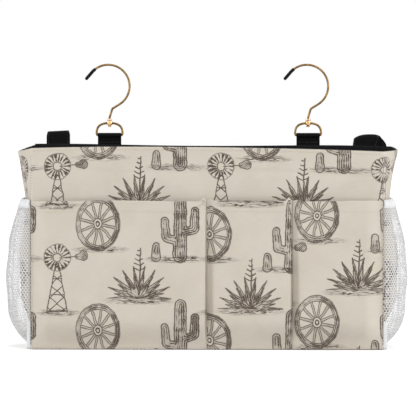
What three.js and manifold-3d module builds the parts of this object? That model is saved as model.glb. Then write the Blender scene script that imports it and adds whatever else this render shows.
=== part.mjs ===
// A cloth bedside caddy: a stiffened printed-cloth bag with pleated front pockets and
// net side pockets. Two swivel hooks on D-rings hang it on a rail, and two webbing
// straps fold over backwards and close with hook-and-loop tape.
// Millimetres. +X is to the right as seen from the front, the front faces -Y, +Z is up.
// The origin is the centre of the base's underside.

import * as THREE from 'three';
import { mergeVertices } from 'three/addons/utils/BufferGeometryUtils.js';
import Module from 'manifold-3d';

const wasm = await Module();
wasm.setup();

// The bag
const bagWidth = 370;
const bagDepth = 100;
const bagHeight = 212;
const clothThickness = 1.6;
const liningThickness = 1.2;
const seatGap = 0.3;
const hemHeight = 1.6;
const paddingDrop = 12;
const baseBoardThickness = 3;

// The gussets swell outwards and dip at the rim
const gussetRimBulge = 16.5;
const gussetRimDip = 5;
const gussetBulgeStart = 60;
const gussetBulgePower = 3;

// The front pockets
const pocketTop = 157;
const pocketBottom = 6;
const middlePocketWidth = 90;
const narrowPocketWidth = 95;
const seamAllowance = 2.5;
const pleatWidth = 6;
const pocketFloorRise = 15;
const pocketBelly = 11;
const pocketMouth = 7.5;

// The net side pockets
const netThickness = 1;
const netBelly = 27;
const netTop = 158;
const elasticHeight = 9;
const elasticThickness = 1.6;
const bindingThickness = 1.2;
const bindingWidth = 4.3;
const bindingLegHeight = 29.5;
const bindingLift = 0.5;

// The webbing tabs, the D-rings and the swivel hooks
const webbingWidth = 25;
const webbingThickness = 1.5;
const hookSpacing = 213;
const barRise = 11.3;
const tabLength = 25;
const eyeClearance = 0.4;
const ringWire = 1.9;
const ringHeight = 13.2;
const ringCorner = 2.2;
const bossDiameter = 5.8;
const bossHeight = 4.4;
const bossChamfer = 0.5;
const runningGap = 0.3;
const hookWire = 2;
const hookRadius = 22.9;
const shankHeight = 5;
const neckRadius = 6;
const neckLength = 8.1;
const shoulderRadius = 2.5;
const shoulderLength = 8.3;
const hookEndLength = 10.8;
const collarDiameter = 5.2;
const collarHeight = 2.1;
const collarChamfer = 0.4;
const rivetDiameter = 3.8;
const rivetHeight = 1.6;
const tipDiameter = 3.4;
const tipLength = 15.8;
const tipWall = 0.4;

// The straps and their hook-and-loop tapes
const leftStrapInset = 23;
const rightStrapInset = 18;
const leftStrapRise = 13;
const rightStrapRise = 6.2;
const strapLegLength = 62;
const strapFlapLength = 36;
const strapTapeWidth = 20;
const strapTapeLength = 24;
const strapTapeDrop = 7;
const tapeThickness = 1.2;

// Counts, angles and shares
const quarterTurn = Math.PI / 2;
const neckLean = THREE.MathUtils.degToRad(17);
const shoulderLean = THREE.MathUtils.degToRad(58);
const hookEndAngle = THREE.MathUtils.degToRad(139);
const tabNeckAngle = THREE.MathUtils.degToRad(50);
const rightStrapSkew = THREE.MathUtils.degToRad(12);
const wireSides = 8;
const tipSides = 12;
const turnSegments = 16;
const ringSegments = 48;
const hookSegments = 60;
const tipSegments = 10;
const foldSegments = 8;
const pocketRows = 5;
const widePocketColumns = 6;
const slimPocketColumns = 4;
const gussetColumns = 12;
const gussetRows = 9;
const netColumns = 14;
const netRoundness = 0.6;
const netHeightShares = [0, 0.036, 0.077, 0.12, 0.18, 0.26, 0.4, 0.55, 0.7, 0.83, 0.93, 1];
const netBulgeShares = [0, 0.39, 0.6, 0.74, 0.86, 0.94, 1, 0.98, 0.88, 0.73, 0.55, 0.36];

// Places that follow from the sizes
const halfWidth = bagWidth / 2;
const halfDepth = bagDepth / 2;
const wallFoot = clothThickness + seatGap;
const slotDepth = 2 * webbingThickness + 3 * seatGap;
const shellInside = halfDepth - clothThickness;
const slotInside = shellInside - slotDepth;
const liningInside = slotInside - liningThickness;
const sideLiningOutside = halfWidth - clothThickness - seatGap;
const sideLiningInside = sideLiningOutside - liningThickness;
const gussetHalf = shellInside - seatGap;
const liningFoot = wallFoot + baseBoardThickness + seatGap;
const slotMiddle = slotInside + slotDepth / 2;
const barHeight = bagHeight + barRise;

// The materials
const printedCloth = new THREE.MeshStandardMaterial({ color: 0xcdc6ba, roughness: 0.85 });
const blackLining = new THREE.MeshStandardMaterial({ color: 0x141416, roughness: 0.8 });
const blackWebbing = new THREE.MeshStandardMaterial({ color: 0x16161a, roughness: 0.75 });
const whiteNet = new THREE.MeshStandardMaterial({ color: 0xf0f0f2, roughness: 0.7 });
const whiteElastic = new THREE.MeshStandardMaterial({ color: 0xf4f4f4, roughness: 0.8 });
const goldWire = new THREE.MeshStandardMaterial({ color: 0xc8a05a, roughness: 0.25, metalness: 1 });
const blackVinyl = new THREE.MeshStandardMaterial({ color: 0x121214, roughness: 0.4 });
const greyBoard = new THREE.MeshStandardMaterial({ color: 0x9a958c, roughness: 0.9 });
const foam = new THREE.MeshStandardMaterial({ color: 0xe6e4de, roughness: 0.95 });
const blackTape = new THREE.MeshStandardMaterial({ color: 0x0e0e10, roughness: 0.95 });

const caddy = new THREE.Group();

function add(name, geometry, material, parent = caddy) {
  const mesh = new THREE.Mesh(geometry, material);
  mesh.name = name;
  parent.add(mesh);
  return mesh;
}

// Shapes

function clamp(share) {
  return Math.min(1, Math.max(0, share));
}

function smooth(share) {
  const s = clamp(share);
  return s * s * (3 - 2 * s);
}

// Only the positions, with shared vertices merged and empty triangles dropped.
function merged(geometry) {
  const bare = new THREE.BufferGeometry();
  bare.setAttribute('position', geometry.getAttribute('position').clone());
  if (geometry.index) bare.setIndex(Array.from(geometry.index.array));
  const joined = mergeVertices(bare);
  const kept = [];
  const index = joined.index.array;
  for (let i = 0; i < index.length; i += 3) {
    const [a, b, c] = [index[i], index[i + 1], index[i + 2]];
    if (a !== b && b !== c && c !== a) kept.push(a, b, c);
  }
  joined.setIndex(kept);
  return joined;
}

function flipped(geometry) {
  const index = Array.from(geometry.index.array);
  for (let i = 0; i < index.length; i += 3) {
    [index[i], index[i + 1]] = [index[i + 1], index[i]];
  }
  geometry.setIndex(index);
  return geometry;
}

function facingOut(geometry) {
  const joined = merged(geometry);
  const position = joined.getAttribute('position');
  const index = joined.index.array;
  const corner = (i) => new THREE.Vector3().fromBufferAttribute(position, index[i]);
  let volume = 0;
  for (let i = 0; i < index.length; i += 3) {
    volume += corner(i).dot(corner(i + 1).cross(corner(i + 2)));
  }
  return volume < 0 ? flipped(joined) : joined;
}

function mirrored(geometry) {
  return flipped(merged(geometry).scale(-1, 1, 1));
}

function toSolid(geometry) {
  const closed = facingOut(geometry);
  return new wasm.Manifold(new wasm.Mesh({
    numProp: 3,
    vertProperties: new Float32Array(closed.getAttribute('position').array),
    triVerts: new Uint32Array(closed.index.array),
  }));
}

function toGeometry(solid) {
  const mesh = solid.getMesh();
  const geometry = new THREE.BufferGeometry();
  geometry.setAttribute('position', new THREE.BufferAttribute(mesh.vertProperties, 3));
  geometry.setIndex(Array.from(mesh.triVerts));
  return geometry;
}

function block(low, high) {
  const size = high.map((value, i) => value - low[i]);
  const geometry = new THREE.BoxGeometry(...size);
  return geometry.translate(...low.map((value, i) => value + size[i] / 2));
}

// A sheet from rows of points on one face. Its thickness goes to the side that the
// cross product of the column and row directions points to, or along a given direction.
function sheet(rows, thickness, direction = null) {
  const rowCount = rows.length;
  const columnCount = rows[0].length;
  const quadNormal = (r, c) => {
    const along = new THREE.Vector3().subVectors(rows[r + 1][c + 1], rows[r][c]);
    const across = new THREE.Vector3().subVectors(rows[r + 1][c], rows[r][c + 1]);
    return along.cross(across).normalize();
  };
  const normals = [];
  for (let r = 0; r < rowCount - 1; r += 1) {
    normals.push(rows[r].slice(1).map((_, c) => quadNormal(r, c)));
  }
  const offsetAt = (r, c) => {
    if (direction) return direction.clone().multiplyScalar(thickness);
    const near = [[r - 1, c - 1], [r - 1, c], [r, c - 1], [r, c]]
      .filter(([i, j]) => i >= 0 && j >= 0 && i < rowCount - 1 && j < columnCount - 1)
      .map(([i, j]) => normals[i][j]);
    const mean = near.reduce((sum, n) => sum.add(n), new THREE.Vector3()).normalize();
    const mitre = Math.max(0.7, Math.min(...near.map((n) => n.dot(mean))));
    return mean.multiplyScalar(thickness / mitre);
  };
  const points = [];
  rows.forEach((row) => row.forEach((p) => points.push(p.x, p.y, p.z)));
  rows.forEach((row, r) => row.forEach((p, c) => {
    const q = offsetAt(r, c).add(p);
    points.push(q.x, q.y, q.z);
  }));
  const inner = (r, c) => r * columnCount + c;
  const outer = (r, c) => rowCount * columnCount + inner(r, c);
  const index = [];
  const quad = (a, b, c, d) => index.push(a, b, c, a, c, d);
  for (let r = 0; r < rowCount - 1; r += 1) {
    for (let c = 0; c < columnCount - 1; c += 1) {
      quad(outer(r, c), outer(r, c + 1), outer(r + 1, c + 1), outer(r + 1, c));
      quad(inner(r, c), inner(r + 1, c), inner(r + 1, c + 1), inner(r, c + 1));
    }
    const last = columnCount - 1;
    quad(inner(r + 1, 0), inner(r, 0), outer(r, 0), outer(r + 1, 0));
    quad(inner(r, last), inner(r + 1, last), outer(r + 1, last), outer(r, last));
  }
  for (let c = 0; c < columnCount - 1; c += 1) {
    const last = rowCount - 1;
    quad(inner(0, c), inner(0, c + 1), outer(0, c + 1), outer(0, c));
    quad(inner(last, c + 1), inner(last, c), outer(last, c), outer(last, c + 1));
  }
  const geometry = new THREE.BufferGeometry();
  geometry.setAttribute('position', new THREE.Float32BufferAttribute(points, 3));
  geometry.setIndex(index);
  return geometry;
}

// A strip of even thickness along a path in the YZ plane, extruded along X about x = 0.
function ribbon(path, thickness, width) {
  const side = (sign) => path.map((point, i) => {
    const before = path[Math.max(0, i - 1)];
    const after = path[Math.min(path.length - 1, i + 1)];
    const entering = point.clone().sub(before).normalize();
    const leaving = after.clone().sub(point).normalize();
    const tangent = entering.clone().add(leaving).normalize();
    const bendCosine = i === 0 || i === path.length - 1 ? 1 : tangent.dot(leaving);
    const reach = (sign * thickness) / 2 / bendCosine;
    return new THREE.Vector2(point.x - tangent.y * reach, point.y + tangent.x * reach);
  });
  const outline = new THREE.Shape([...side(1), ...side(-1).reverse()]);
  const geometry = new THREE.ExtrudeGeometry(outline, { depth: width, bevelEnabled: false });
  const yAxis = new THREE.Vector3(0, 1, 0);
  const zAxis = new THREE.Vector3(0, 0, 1);
  const xAxis = new THREE.Vector3(1, 0, 0);
  geometry.translate(0, 0, -width / 2);
  return geometry.applyMatrix4(new THREE.Matrix4().makeBasis(yAxis, zAxis, xAxis));
}

// A turned solid about Z, from a profile of [radius, height] points.
function turned(profile) {
  const points = profile.map(([radius, height]) => new THREE.Vector2(radius, height));
  return new THREE.LatheGeometry(points, turnSegments).rotateX(quarterTurn);
}

function wireAlong(curve, radius, steps, sides = wireSides) {
  const circle = new THREE.Shape();
  for (let i = 0; i < sides; i += 1) {
    const angle = (i / sides) * 4 * quarterTurn;
    const [x, y] = [radius * Math.cos(angle), radius * Math.sin(angle)];
    if (i === 0) circle.moveTo(x, y);
    else circle.lineTo(x, y);
  }
  return new THREE.ExtrudeGeometry(circle, { steps, extrudePath: curve, bevelEnabled: false });
}

// The bag's walls and base

function makeWalls() {
  const front = block([-halfWidth, -halfDepth, wallFoot], [halfWidth, -shellInside, bagHeight]);
  const hemLow = [-sideLiningInside, -shellInside - seatGap, bagHeight - hemHeight];
  const hemHigh = [sideLiningInside, -slotInside - seatGap, bagHeight];
  const hem = block(hemLow, hemHigh);
  add('front_shell', toGeometry(toSolid(front).add(toSolid(hem))), printedCloth);

  const back = toSolid(front.clone()).add(toSolid(hem)).mirror([0, 1, 0]);
  const slotHalf = webbingWidth / 2 + seatGap;
  const slots = [-1, 1].map((side) => toSolid(block(
    [(side * hookSpacing) / 2 - slotHalf, slotInside - seatGap, bagHeight - 2 * hemHeight],
    [(side * hookSpacing) / 2 + slotHalf, shellInside, bagHeight + hemHeight],
  )));
  add('back_shell', toGeometry(back.subtract(slots[0]).subtract(slots[1])), printedCloth);

  const stiffenerLow = [-sideLiningInside, -shellInside + seatGap, wallFoot];
  const stiffenerHigh = [sideLiningInside, -slotInside - seatGap, bagHeight - paddingDrop];
  add('front_padding', block(stiffenerLow, stiffenerHigh), foam);

  const boardTop = bagHeight - tabLength - seatGap;
  const boardLow = [-sideLiningInside, slotInside + seatGap, wallFoot];
  const boardHigh = [sideLiningInside, shellInside - seatGap, boardTop];
  add('back_board', block(boardLow, boardHigh), greyBoard);

  const liningLow = [-sideLiningOutside, -slotInside, liningFoot];
  const liningHigh = [sideLiningOutside, -liningInside, bagHeight];
  add('lining_front', block(liningLow, liningHigh), blackLining);
  const backLow = [-sideLiningOutside, liningInside, liningFoot];
  const backHigh = [sideLiningOutside, slotInside, bagHeight];
  add('lining_back', block(backLow, backHigh), blackLining);
}

function makeBase() {
  const shell = block([-halfWidth, -halfDepth, 0], [halfWidth, halfDepth, clothThickness]);
  add('base_shell', shell, printedCloth);
  const boardLow = [-sideLiningInside, -slotInside, wallFoot];
  const boardHigh = [sideLiningInside, slotInside, wallFoot + baseBoardThickness];
  add('base_board', block(boardLow, boardHigh), greyBoard);
  const [x, y] = [sideLiningInside - seatGap, liningInside - seatGap];
  const lining = block([-x, -y, liningFoot], [x, y, liningFoot + liningThickness]);
  add('lining_base', lining, blackLining);
}

// How far the gusset stands out of the bag's side at a place on it.
function gussetBulge(y, z) {
  const rise = clamp((z - gussetBulgeStart) / (bagHeight - gussetBulgeStart));
  const across = Math.cos((quarterTurn * y) / gussetHalf);
  return gussetRimBulge * rise ** gussetBulgePower * across;
}

function gussetPanel(inside, thickness, halfSpan, foot) {
  const rows = [];
  for (let r = 0; r <= gussetRows; r += 1) {
    const row = [];
    for (let c = 0; c <= gussetColumns; c += 1) {
      const y = halfSpan * (2 * (c / gussetColumns) - 1);
      const dip = gussetRimDip * Math.cos((quarterTurn * y) / gussetHalf);
      const share = Math.sqrt(r / gussetRows);
      const z = foot + share * (bagHeight - dip - foot);
      row.push(new THREE.Vector3(inside + gussetBulge(y, z), y, z));
    }
    rows.push(row);
  }
  return sheet(rows, thickness, new THREE.Vector3(1, 0, 0));
}

function makeGussets() {
  const shell = gussetPanel(halfWidth - clothThickness, clothThickness, gussetHalf, wallFoot);
  const lining = gussetPanel(
    sideLiningInside, liningThickness, liningInside - seatGap, liningFoot,
  );
  add('gusset_right', shell, printedCloth);
  add('gusset_left', mirrored(shell), printedCloth);
  add('lining_right', lining, blackLining);
  add('lining_left', mirrored(lining), blackLining);
}

// The pleated front pockets

function pocketDepth(x, z, left, right) {
  const fromLeft = smooth((x - left - seamAllowance) / pleatWidth);
  const fromRight = smooth((right - seamAllowance - x) / pleatWidth);
  const fromFloor = smooth((z - pocketBottom - seamAllowance) / pocketFloorRise);
  const rise = smooth((z - pocketBottom) / (pocketTop - pocketBottom));
  const proud = pocketBelly + (pocketMouth - pocketBelly) * rise;
  return proud * fromLeft * fromRight * fromFloor;
}

function pocketPanel(left, right, bellyColumns) {
  const pleatShares = [0, 0.3, 0.5, 0.7, 1];
  const floorShares = [0, 0.3, 0.6, 1];
  const pleat = seamAllowance + pleatWidth;
  const columns = [left, ...pleatShares.map((s) => left + seamAllowance + s * pleatWidth)];
  for (let i = 1; i < bellyColumns; i += 1) {
    columns.push(left + pleat + (i / bellyColumns) * (right - left - 2 * pleat));
  }
  pleatShares.slice().reverse().forEach((s) => {
    columns.push(right - seamAllowance - s * pleatWidth);
  });
  columns.push(right);
  const floor = pocketBottom + seamAllowance;
  const heights = [pocketBottom, ...floorShares.map((s) => floor + s * pocketFloorRise)];
  for (let i = 1; i <= pocketRows; i += 1) {
    const start = floor + pocketFloorRise;
    heights.push(start + (i / pocketRows) * (pocketTop - start));
  }
  const wall = -halfDepth - seatGap;
  const rows = heights.map((z) => columns.map(
    (x) => new THREE.Vector3(x, wall - pocketDepth(x, z, left, right), z),
  ));
  return sheet(rows, clothThickness);
}

function makePockets() {
  const narrowLeft = halfWidth - narrowPocketWidth;
  const middleLeft = narrowLeft - middlePocketWidth;
  const halfSeam = seatGap / 2;
  const wide = pocketPanel(-halfWidth, middleLeft - halfSeam, widePocketColumns);
  const middle = pocketPanel(middleLeft + halfSeam, narrowLeft - halfSeam, slimPocketColumns);
  const narrow = pocketPanel(narrowLeft + halfSeam, halfWidth, slimPocketColumns);
  add('pocket_wide', wide, printedCloth);
  add('pocket_middle', middle, printedCloth);
  add('pocket_narrow', narrow, printedCloth);
}

// The net side pockets

const netHalf = halfDepth - bindingThickness - seatGap - netThickness;
const netFoot = bindingLift + bindingThickness + seatGap + netThickness;

function netBulge(z) {
  const share = clamp((z - netFoot) / (netTop - netFoot));
  let i = 1;
  while (i < netHeightShares.length - 1 && netHeightShares[i] < share) i += 1;
  const [low, high] = [netHeightShares[i - 1], netHeightShares[i]];
  const between = (share - low) / (high - low);
  const bulge = netBulgeShares[i - 1] + between * (netBulgeShares[i] - netBulgeShares[i - 1]);
  return netBelly * bulge;
}

function netSheet(heights, thickness) {
  const rows = heights.map((z) => {
    const row = [];
    for (let c = 0; c <= netColumns; c += 1) {
      const angle = quarterTurn * (2 * (c / netColumns) - 1);
      const y = netHalf * Math.sin(angle);
      const across = Math.max(0, Math.cos((quarterTurn * y) / netHalf)) ** netRoundness;
      row.push(new THREE.Vector3(halfWidth + seatGap + netBulge(z) * across, y, z));
    }
    return row;
  });
  return sheet(rows, thickness);
}

function makeNetPockets() {
  const elasticFoot = netTop - elasticHeight;
  const netHeights = netHeightShares.map((share) => netFoot + share * (netTop - netFoot))
    .filter((z) => z < elasticFoot - elasticThickness);
  netHeights.push(elasticFoot - seatGap);
  const net = netSheet(netHeights, netThickness);
  const elasticMiddle = elasticFoot + elasticHeight / 2;
  const elastic = netSheet([elasticFoot, elasticMiddle, netTop], elasticThickness);

  const leg = halfDepth - bindingThickness / 2;
  const foot = bindingLift + bindingThickness / 2;
  const top = bindingLift + bindingLegHeight;
  const tapePath = [[-leg, top], [-leg, foot], [leg, foot], [leg, top]];
  const tape = ribbon(
    tapePath.map(([y, z]) => new THREE.Vector2(y, z)), bindingThickness, bindingWidth,
  ).translate(halfWidth + seatGap + bindingWidth / 2, 0, 0);

  add('mesh_pocket_right', net, whiteNet);
  add('mesh_pocket_left', mirrored(net), whiteNet);
  add('mesh_elastic_right', elastic, whiteElastic);
  add('mesh_elastic_left', mirrored(elastic), whiteElastic);
  add('mesh_binding_right', tape, whiteElastic);
  add('mesh_binding_left', mirrored(tape), whiteElastic);
}

// The webbing tabs: each goes up out of the back wall, round the D-ring's bar and down.

function makeTab() {
  const eye = ringWire / 2 + eyeClearance + webbingThickness / 2;
  const leg = (webbingThickness + seatGap) / 2;
  const legFoot = bagHeight - tabLength - barHeight;
  const neck = -2 * eye;
  const path = [new THREE.Vector2(leg, legFoot), new THREE.Vector2(leg, neck)];
  for (let i = 0; i <= turnSegments; i += 1) {
    const angle = -tabNeckAngle + (i / turnSegments) * (2 * quarterTurn + 2 * tabNeckAngle);
    path.push(new THREE.Vector2(eye * Math.cos(angle), eye * Math.sin(angle)));
  }
  path.push(new THREE.Vector2(-leg, neck), new THREE.Vector2(-leg, legFoot));
  return ribbon(path, webbingThickness, webbingWidth);
}

// The D-ring about the middle of its bar, with a boss that the hook's shank turns in.

function makeRing() {
  const half = webbingWidth / 2 + eyeClearance + ringWire / 2;
  const outline = new THREE.Path();
  outline.moveTo(-half + ringCorner, 0);
  outline.lineTo(half - ringCorner, 0);
  outline.absarc(half - ringCorner, ringCorner, ringCorner, -quarterTurn, 0, false);
  outline.absellipse(0, ringCorner, half, ringHeight - ringCorner, 0, 2 * quarterTurn, false);
  outline.absarc(
    -half + ringCorner, ringCorner, ringCorner, 2 * quarterTurn, 3 * quarterTurn, false,
  );
  const points = outline.getSpacedPoints(ringSegments).slice(0, -1);
  const loop = new THREE.CatmullRomCurve3(
    points.map((p) => new THREE.Vector3(p.x, 0, p.y)), true, 'centripetal',
  );
  const wire = new THREE.TubeGeometry(loop, ringSegments, ringWire / 2, wireSides, true);
  const boss = turned([
    [0, -bossHeight / 2],
    [bossDiameter / 2 - bossChamfer, -bossHeight / 2],
    [bossDiameter / 2, -bossHeight / 2 + bossChamfer],
    [bossDiameter / 2, bossHeight / 2 - bossChamfer],
    [bossDiameter / 2 - bossChamfer, bossHeight / 2],
    [0, bossHeight / 2],
  ]).translate(0, 0, ringHeight);
  const boreRadius = hookWire / 2 + runningGap;
  const bore = turned([
    [0, -bossHeight], [boreRadius, -bossHeight], [boreRadius, bossHeight], [0, bossHeight],
  ]).translate(0, 0, ringHeight);
  return toGeometry(toSolid(wire).add(toSolid(boss)).subtract(toSolid(bore)));
}

// The hook about the middle of the boss. Its centre line goes up out of the rivet head,
// leans over, bends at the shoulder, goes round and ends in a straight piece. A lean is
// an angle away from upright towards +X.

const rivetTop = -bossHeight / 2 - runningGap;

function ahead(lean, distance) {
  return new THREE.Vector2(Math.sin(lean), Math.cos(lean)).multiplyScalar(distance);
}

function aside(lean, distance) {
  return new THREE.Vector2(Math.cos(lean), -Math.sin(lean)).multiplyScalar(distance);
}

const neckCentre = new THREE.Vector2(neckRadius, shankHeight);
const neckTop = neckCentre.clone()
  .sub(aside(neckLean, neckRadius)).add(ahead(neckLean, neckLength));
const shoulderCentre = neckTop.clone().add(aside(neckLean, shoulderRadius));
const shoulderTop = shoulderCentre.clone()
  .sub(aside(shoulderLean, shoulderRadius)).add(ahead(shoulderLean, shoulderLength));
const hookCentre = shoulderTop.clone().sub(aside(shoulderLean, hookRadius));

function curveFrom(outline, count) {
  const points = outline.getSpacedPoints(count);
  return new THREE.CatmullRomCurve3(
    points.map((p) => new THREE.Vector3(p.x, 0, p.y)), false, 'centripetal',
  );
}

// Adds the round part from a given angle, and the straight end less a given length.
function addHookEnd(outline, startAngle, shortBy) {
  outline.absarc(hookCentre.x, hookCentre.y, hookRadius, startAngle, hookEndAngle, false);
  const end = hookCentre.clone().add(aside(-hookEndAngle, hookRadius))
    .add(ahead(-hookEndAngle, hookEndLength - shortBy));
  outline.lineTo(end.x, end.y);
  return outline;
}

function makeHook() {
  const outline = new THREE.Path();
  outline.moveTo(0, rivetTop - rivetHeight / 2);
  outline.lineTo(0, shankHeight);
  outline.absarc(
    neckCentre.x, neckCentre.y, neckRadius, 2 * quarterTurn, 2 * quarterTurn - neckLean, true,
  );
  outline.lineTo(neckTop.x, neckTop.y);
  outline.absarc(
    shoulderCentre.x, shoulderCentre.y, shoulderRadius,
    2 * quarterTurn - neckLean, 2 * quarterTurn - shoulderLean, true,
  );
  outline.lineTo(shoulderTop.x, shoulderTop.y);
  addHookEnd(outline, -shoulderLean, tipWall + runningGap);
  const wire = wireAlong(curveFrom(outline, hookSegments), hookWire / 2, hookSegments);
  const headRadius = rivetDiameter / 2;
  const head = turned([
    [0, -rivetHeight], [headRadius * Math.SQRT1_2, -rivetHeight * Math.SQRT1_2],
    [headRadius, -rivetHeight / 4], [headRadius, 0], [0, 0],
  ]).translate(0, 0, rivetTop);
  return toGeometry(toSolid(wire).add(toSolid(head)));
}

function makeTip() {
  const start = hookEndAngle - (tipLength - hookEndLength) / hookRadius;
  const cover = addHookEnd(new THREE.Path(), start, 0);
  const outside = wireAlong(curveFrom(cover, tipSegments), tipDiameter / 2, tipSegments, tipSides);
  const hollow = addHookEnd(new THREE.Path(), start - runningGap / hookRadius, tipWall);
  const boreRadius = hookWire / 2 + runningGap;
  const inside = wireAlong(curveFrom(hollow, tipSegments), boreRadius, tipSegments, tipSides);
  return toGeometry(toSolid(outside).subtract(toSolid(inside)));
}

function makeCollar() {
  const inner = hookWire / 2 + runningGap;
  const outer = collarDiameter / 2;
  return facingOut(turned([
    [inner, 0],
    [outer - collarChamfer, 0],
    [outer, collarChamfer],
    [outer, collarHeight - collarChamfer],
    [outer - collarChamfer, collarHeight],
    [inner, collarHeight],
    [inner, 0],
  ])).translate(0, 0, bossHeight / 2 + runningGap);
}

function makeHangers() {
  [['left', -1], ['right', 1]].forEach(([name, side]) => {
    const bar = new THREE.Group();
    bar.position.set((side * hookSpacing) / 2, slotMiddle, barHeight);
    caddy.add(bar);
    add(`tab_${name}`, makeTab(), blackWebbing, bar);
    add(`d_ring_${name}`, makeRing(), goldWire, bar);
    const boss = new THREE.Group();
    boss.position.set(0, 0, ringHeight);
    bar.add(boss);
    add(`hook_${name}`, makeHook(), goldWire, boss);
    add(`swivel_collar_${name}`, makeCollar(), goldWire, boss);
    add(`hook_tip_${name}`, makeTip(), blackVinyl, boss);
  });
}

// The straps. A strap is one straight band that folds over backwards along a crease, so
// a skewed crease sends its flap off to the side. Along is the distance past the crease
// on the band's inner face, and across is the place on its width.

const foldRadius = tapeThickness + 1.5 * seatGap;
const foldLength = 2 * quarterTurn * foldRadius;

function strapPoint(along, across, skew, radius) {
  const x = along * Math.tan(skew) + across / Math.cos(skew);
  if (along < 0) return new THREE.Vector3(x, -radius, along);
  if (along > foldLength) return new THREE.Vector3(x, radius, foldLength - along);
  const angle = along / foldRadius;
  return new THREE.Vector3(x, -radius * Math.cos(angle), radius * Math.sin(angle));
}

function strapBand(alongs, width, skew, radius, thickness) {
  const rows = alongs.map((along) => [-width / 2, width / 2].map((across) => {
    const squared = along.square ? along.at * Math.cos(skew) - across * Math.sin(skew) : along.at;
    return strapPoint(squared, across, skew, radius);
  }));
  return sheet(rows, thickness);
}

function makeStraps() {
  const flapStart = foldLength + seatGap;
  const fold = Array.from({ length: foldSegments + 1 }, (_, i) => (
    { at: (i / foldSegments) * foldLength }
  ));
  const legRows = [{ at: -strapLegLength, square: true }, ...fold];
  const flapRows = [{ at: flapStart }, { at: foldLength + strapFlapLength, square: true }];
  const tapeRadius = foldRadius - seatGap - tapeThickness;
  const tapeEnds = [strapTapeDrop, strapTapeDrop + strapTapeLength];
  const loopRows = tapeEnds.slice().reverse().map((drop) => ({ at: -drop, square: true }));
  const hookRows = tapeEnds.map((drop) => ({ at: foldLength + drop, square: true }));
  const creaseDepth = halfDepth + seatGap + webbingThickness + foldRadius;
  const straps = [
    ['left', leftStrapInset - halfWidth, leftStrapRise, 0],
    ['right', halfWidth - rightStrapInset, rightStrapRise, rightStrapSkew],
  ];
  straps.forEach(([name, place, rise, skew]) => {
    const frame = new THREE.Group();
    frame.position.set(place, creaseDepth, bagHeight + rise);
    frame.rotation.y = -skew;
    caddy.add(frame);
    const band = (rows) => strapBand(rows, webbingWidth, skew, foldRadius, webbingThickness);
    const tape = (rows) => strapBand(rows, strapTapeWidth, skew, tapeRadius, tapeThickness);
    add(`strap_${name}`, band(legRows), blackWebbing, frame);
    add(`strap_flap_${name}`, band(flapRows), blackWebbing, frame);
    add(`loop_tape_${name}`, tape(loopRows), blackTape, frame);
    add(`hook_tape_${name}`, tape(hookRows), blackTape, frame);
  });
}

makeWalls();
makeBase();
makeGussets();
makePockets();
makeNetPockets();
makeHangers();
makeStraps();

export default caddy;
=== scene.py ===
"""The looks of the cloth bedside caddy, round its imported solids.

Metres, with the front towards -Y and the base on the floor at Z = 0.
"""

import math

import bpy
import numpy as np
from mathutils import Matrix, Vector


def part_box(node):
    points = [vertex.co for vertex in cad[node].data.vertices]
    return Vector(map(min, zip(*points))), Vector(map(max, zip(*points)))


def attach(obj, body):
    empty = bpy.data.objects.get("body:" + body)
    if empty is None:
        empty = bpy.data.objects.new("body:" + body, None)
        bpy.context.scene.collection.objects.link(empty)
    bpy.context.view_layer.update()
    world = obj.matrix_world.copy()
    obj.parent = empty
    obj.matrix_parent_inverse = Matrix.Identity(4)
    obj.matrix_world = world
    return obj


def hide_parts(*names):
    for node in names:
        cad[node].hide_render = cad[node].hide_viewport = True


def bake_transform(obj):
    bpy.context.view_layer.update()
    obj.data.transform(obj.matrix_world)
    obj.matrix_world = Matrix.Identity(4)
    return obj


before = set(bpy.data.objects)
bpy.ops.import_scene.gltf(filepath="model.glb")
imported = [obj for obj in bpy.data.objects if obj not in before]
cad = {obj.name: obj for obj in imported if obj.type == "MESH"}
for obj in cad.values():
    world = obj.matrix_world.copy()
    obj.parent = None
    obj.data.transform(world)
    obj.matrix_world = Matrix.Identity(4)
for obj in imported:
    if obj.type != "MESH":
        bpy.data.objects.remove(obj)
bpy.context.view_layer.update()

MM = 0.001
SIDES = (("left", -1), ("right", 1))

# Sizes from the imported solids

HALF_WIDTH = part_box("front_shell")[1].x
HALF_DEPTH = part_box("back_shell")[1].y
BAG_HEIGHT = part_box("front_shell")[1].z
WALL_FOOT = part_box("front_shell")[0].z
SLOT_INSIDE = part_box("lining_back")[1].y
LINING_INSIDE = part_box("lining_back")[0].y
LINING_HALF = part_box("lining_back")[1].x
LINING_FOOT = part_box("lining_back")[0].z
POCKET_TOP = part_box("pocket_wide")[1].z
ELASTIC_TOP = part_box("mesh_elastic_right")[1].z
ELASTIC_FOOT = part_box("mesh_elastic_right")[0].z

# Sizes of the bag

SEAT_GAP = 0.3 * MM
CLOTH = 0.8 * MM
LINING = 0.6 * MM
LINING_HEIGHT = BAG_HEIGHT - LINING_FOOT
LINING_ROLL = 1.6 * MM
WALL_EDGE = HALF_WIDTH - 2.2 * MM
WALL_FOLD = 0.9 * MM
WALL_STRAIGHT = BAG_HEIGHT - WALL_FOOT - WALL_FOLD
WALL_LENGTH = WALL_STRAIGHT + WALL_FOLD * math.pi / 2
HEM_LENGTH = HALF_DEPTH - (SLOT_INSIDE + SEAT_GAP) - WALL_FOLD
HEM_STITCH = 3.4 * MM
GUSSET_HALF = HALF_DEPTH - 1.9 * MM
GUSSET_FOLD = 0.8 * MM
WEBBING = 1.5 * MM
WEBBING_WIDTH = 25 * MM
WEBBING_RIB = 1.56 * MM
TAB_SLOT = WEBBING_WIDTH / 2 + SEAT_GAP
HOOK_PLACE = 106.5 * MM
SLOT_MIDDLE = 46.45 * MM
BAR_HEIGHT = 223.3 * MM

# Stage


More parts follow.
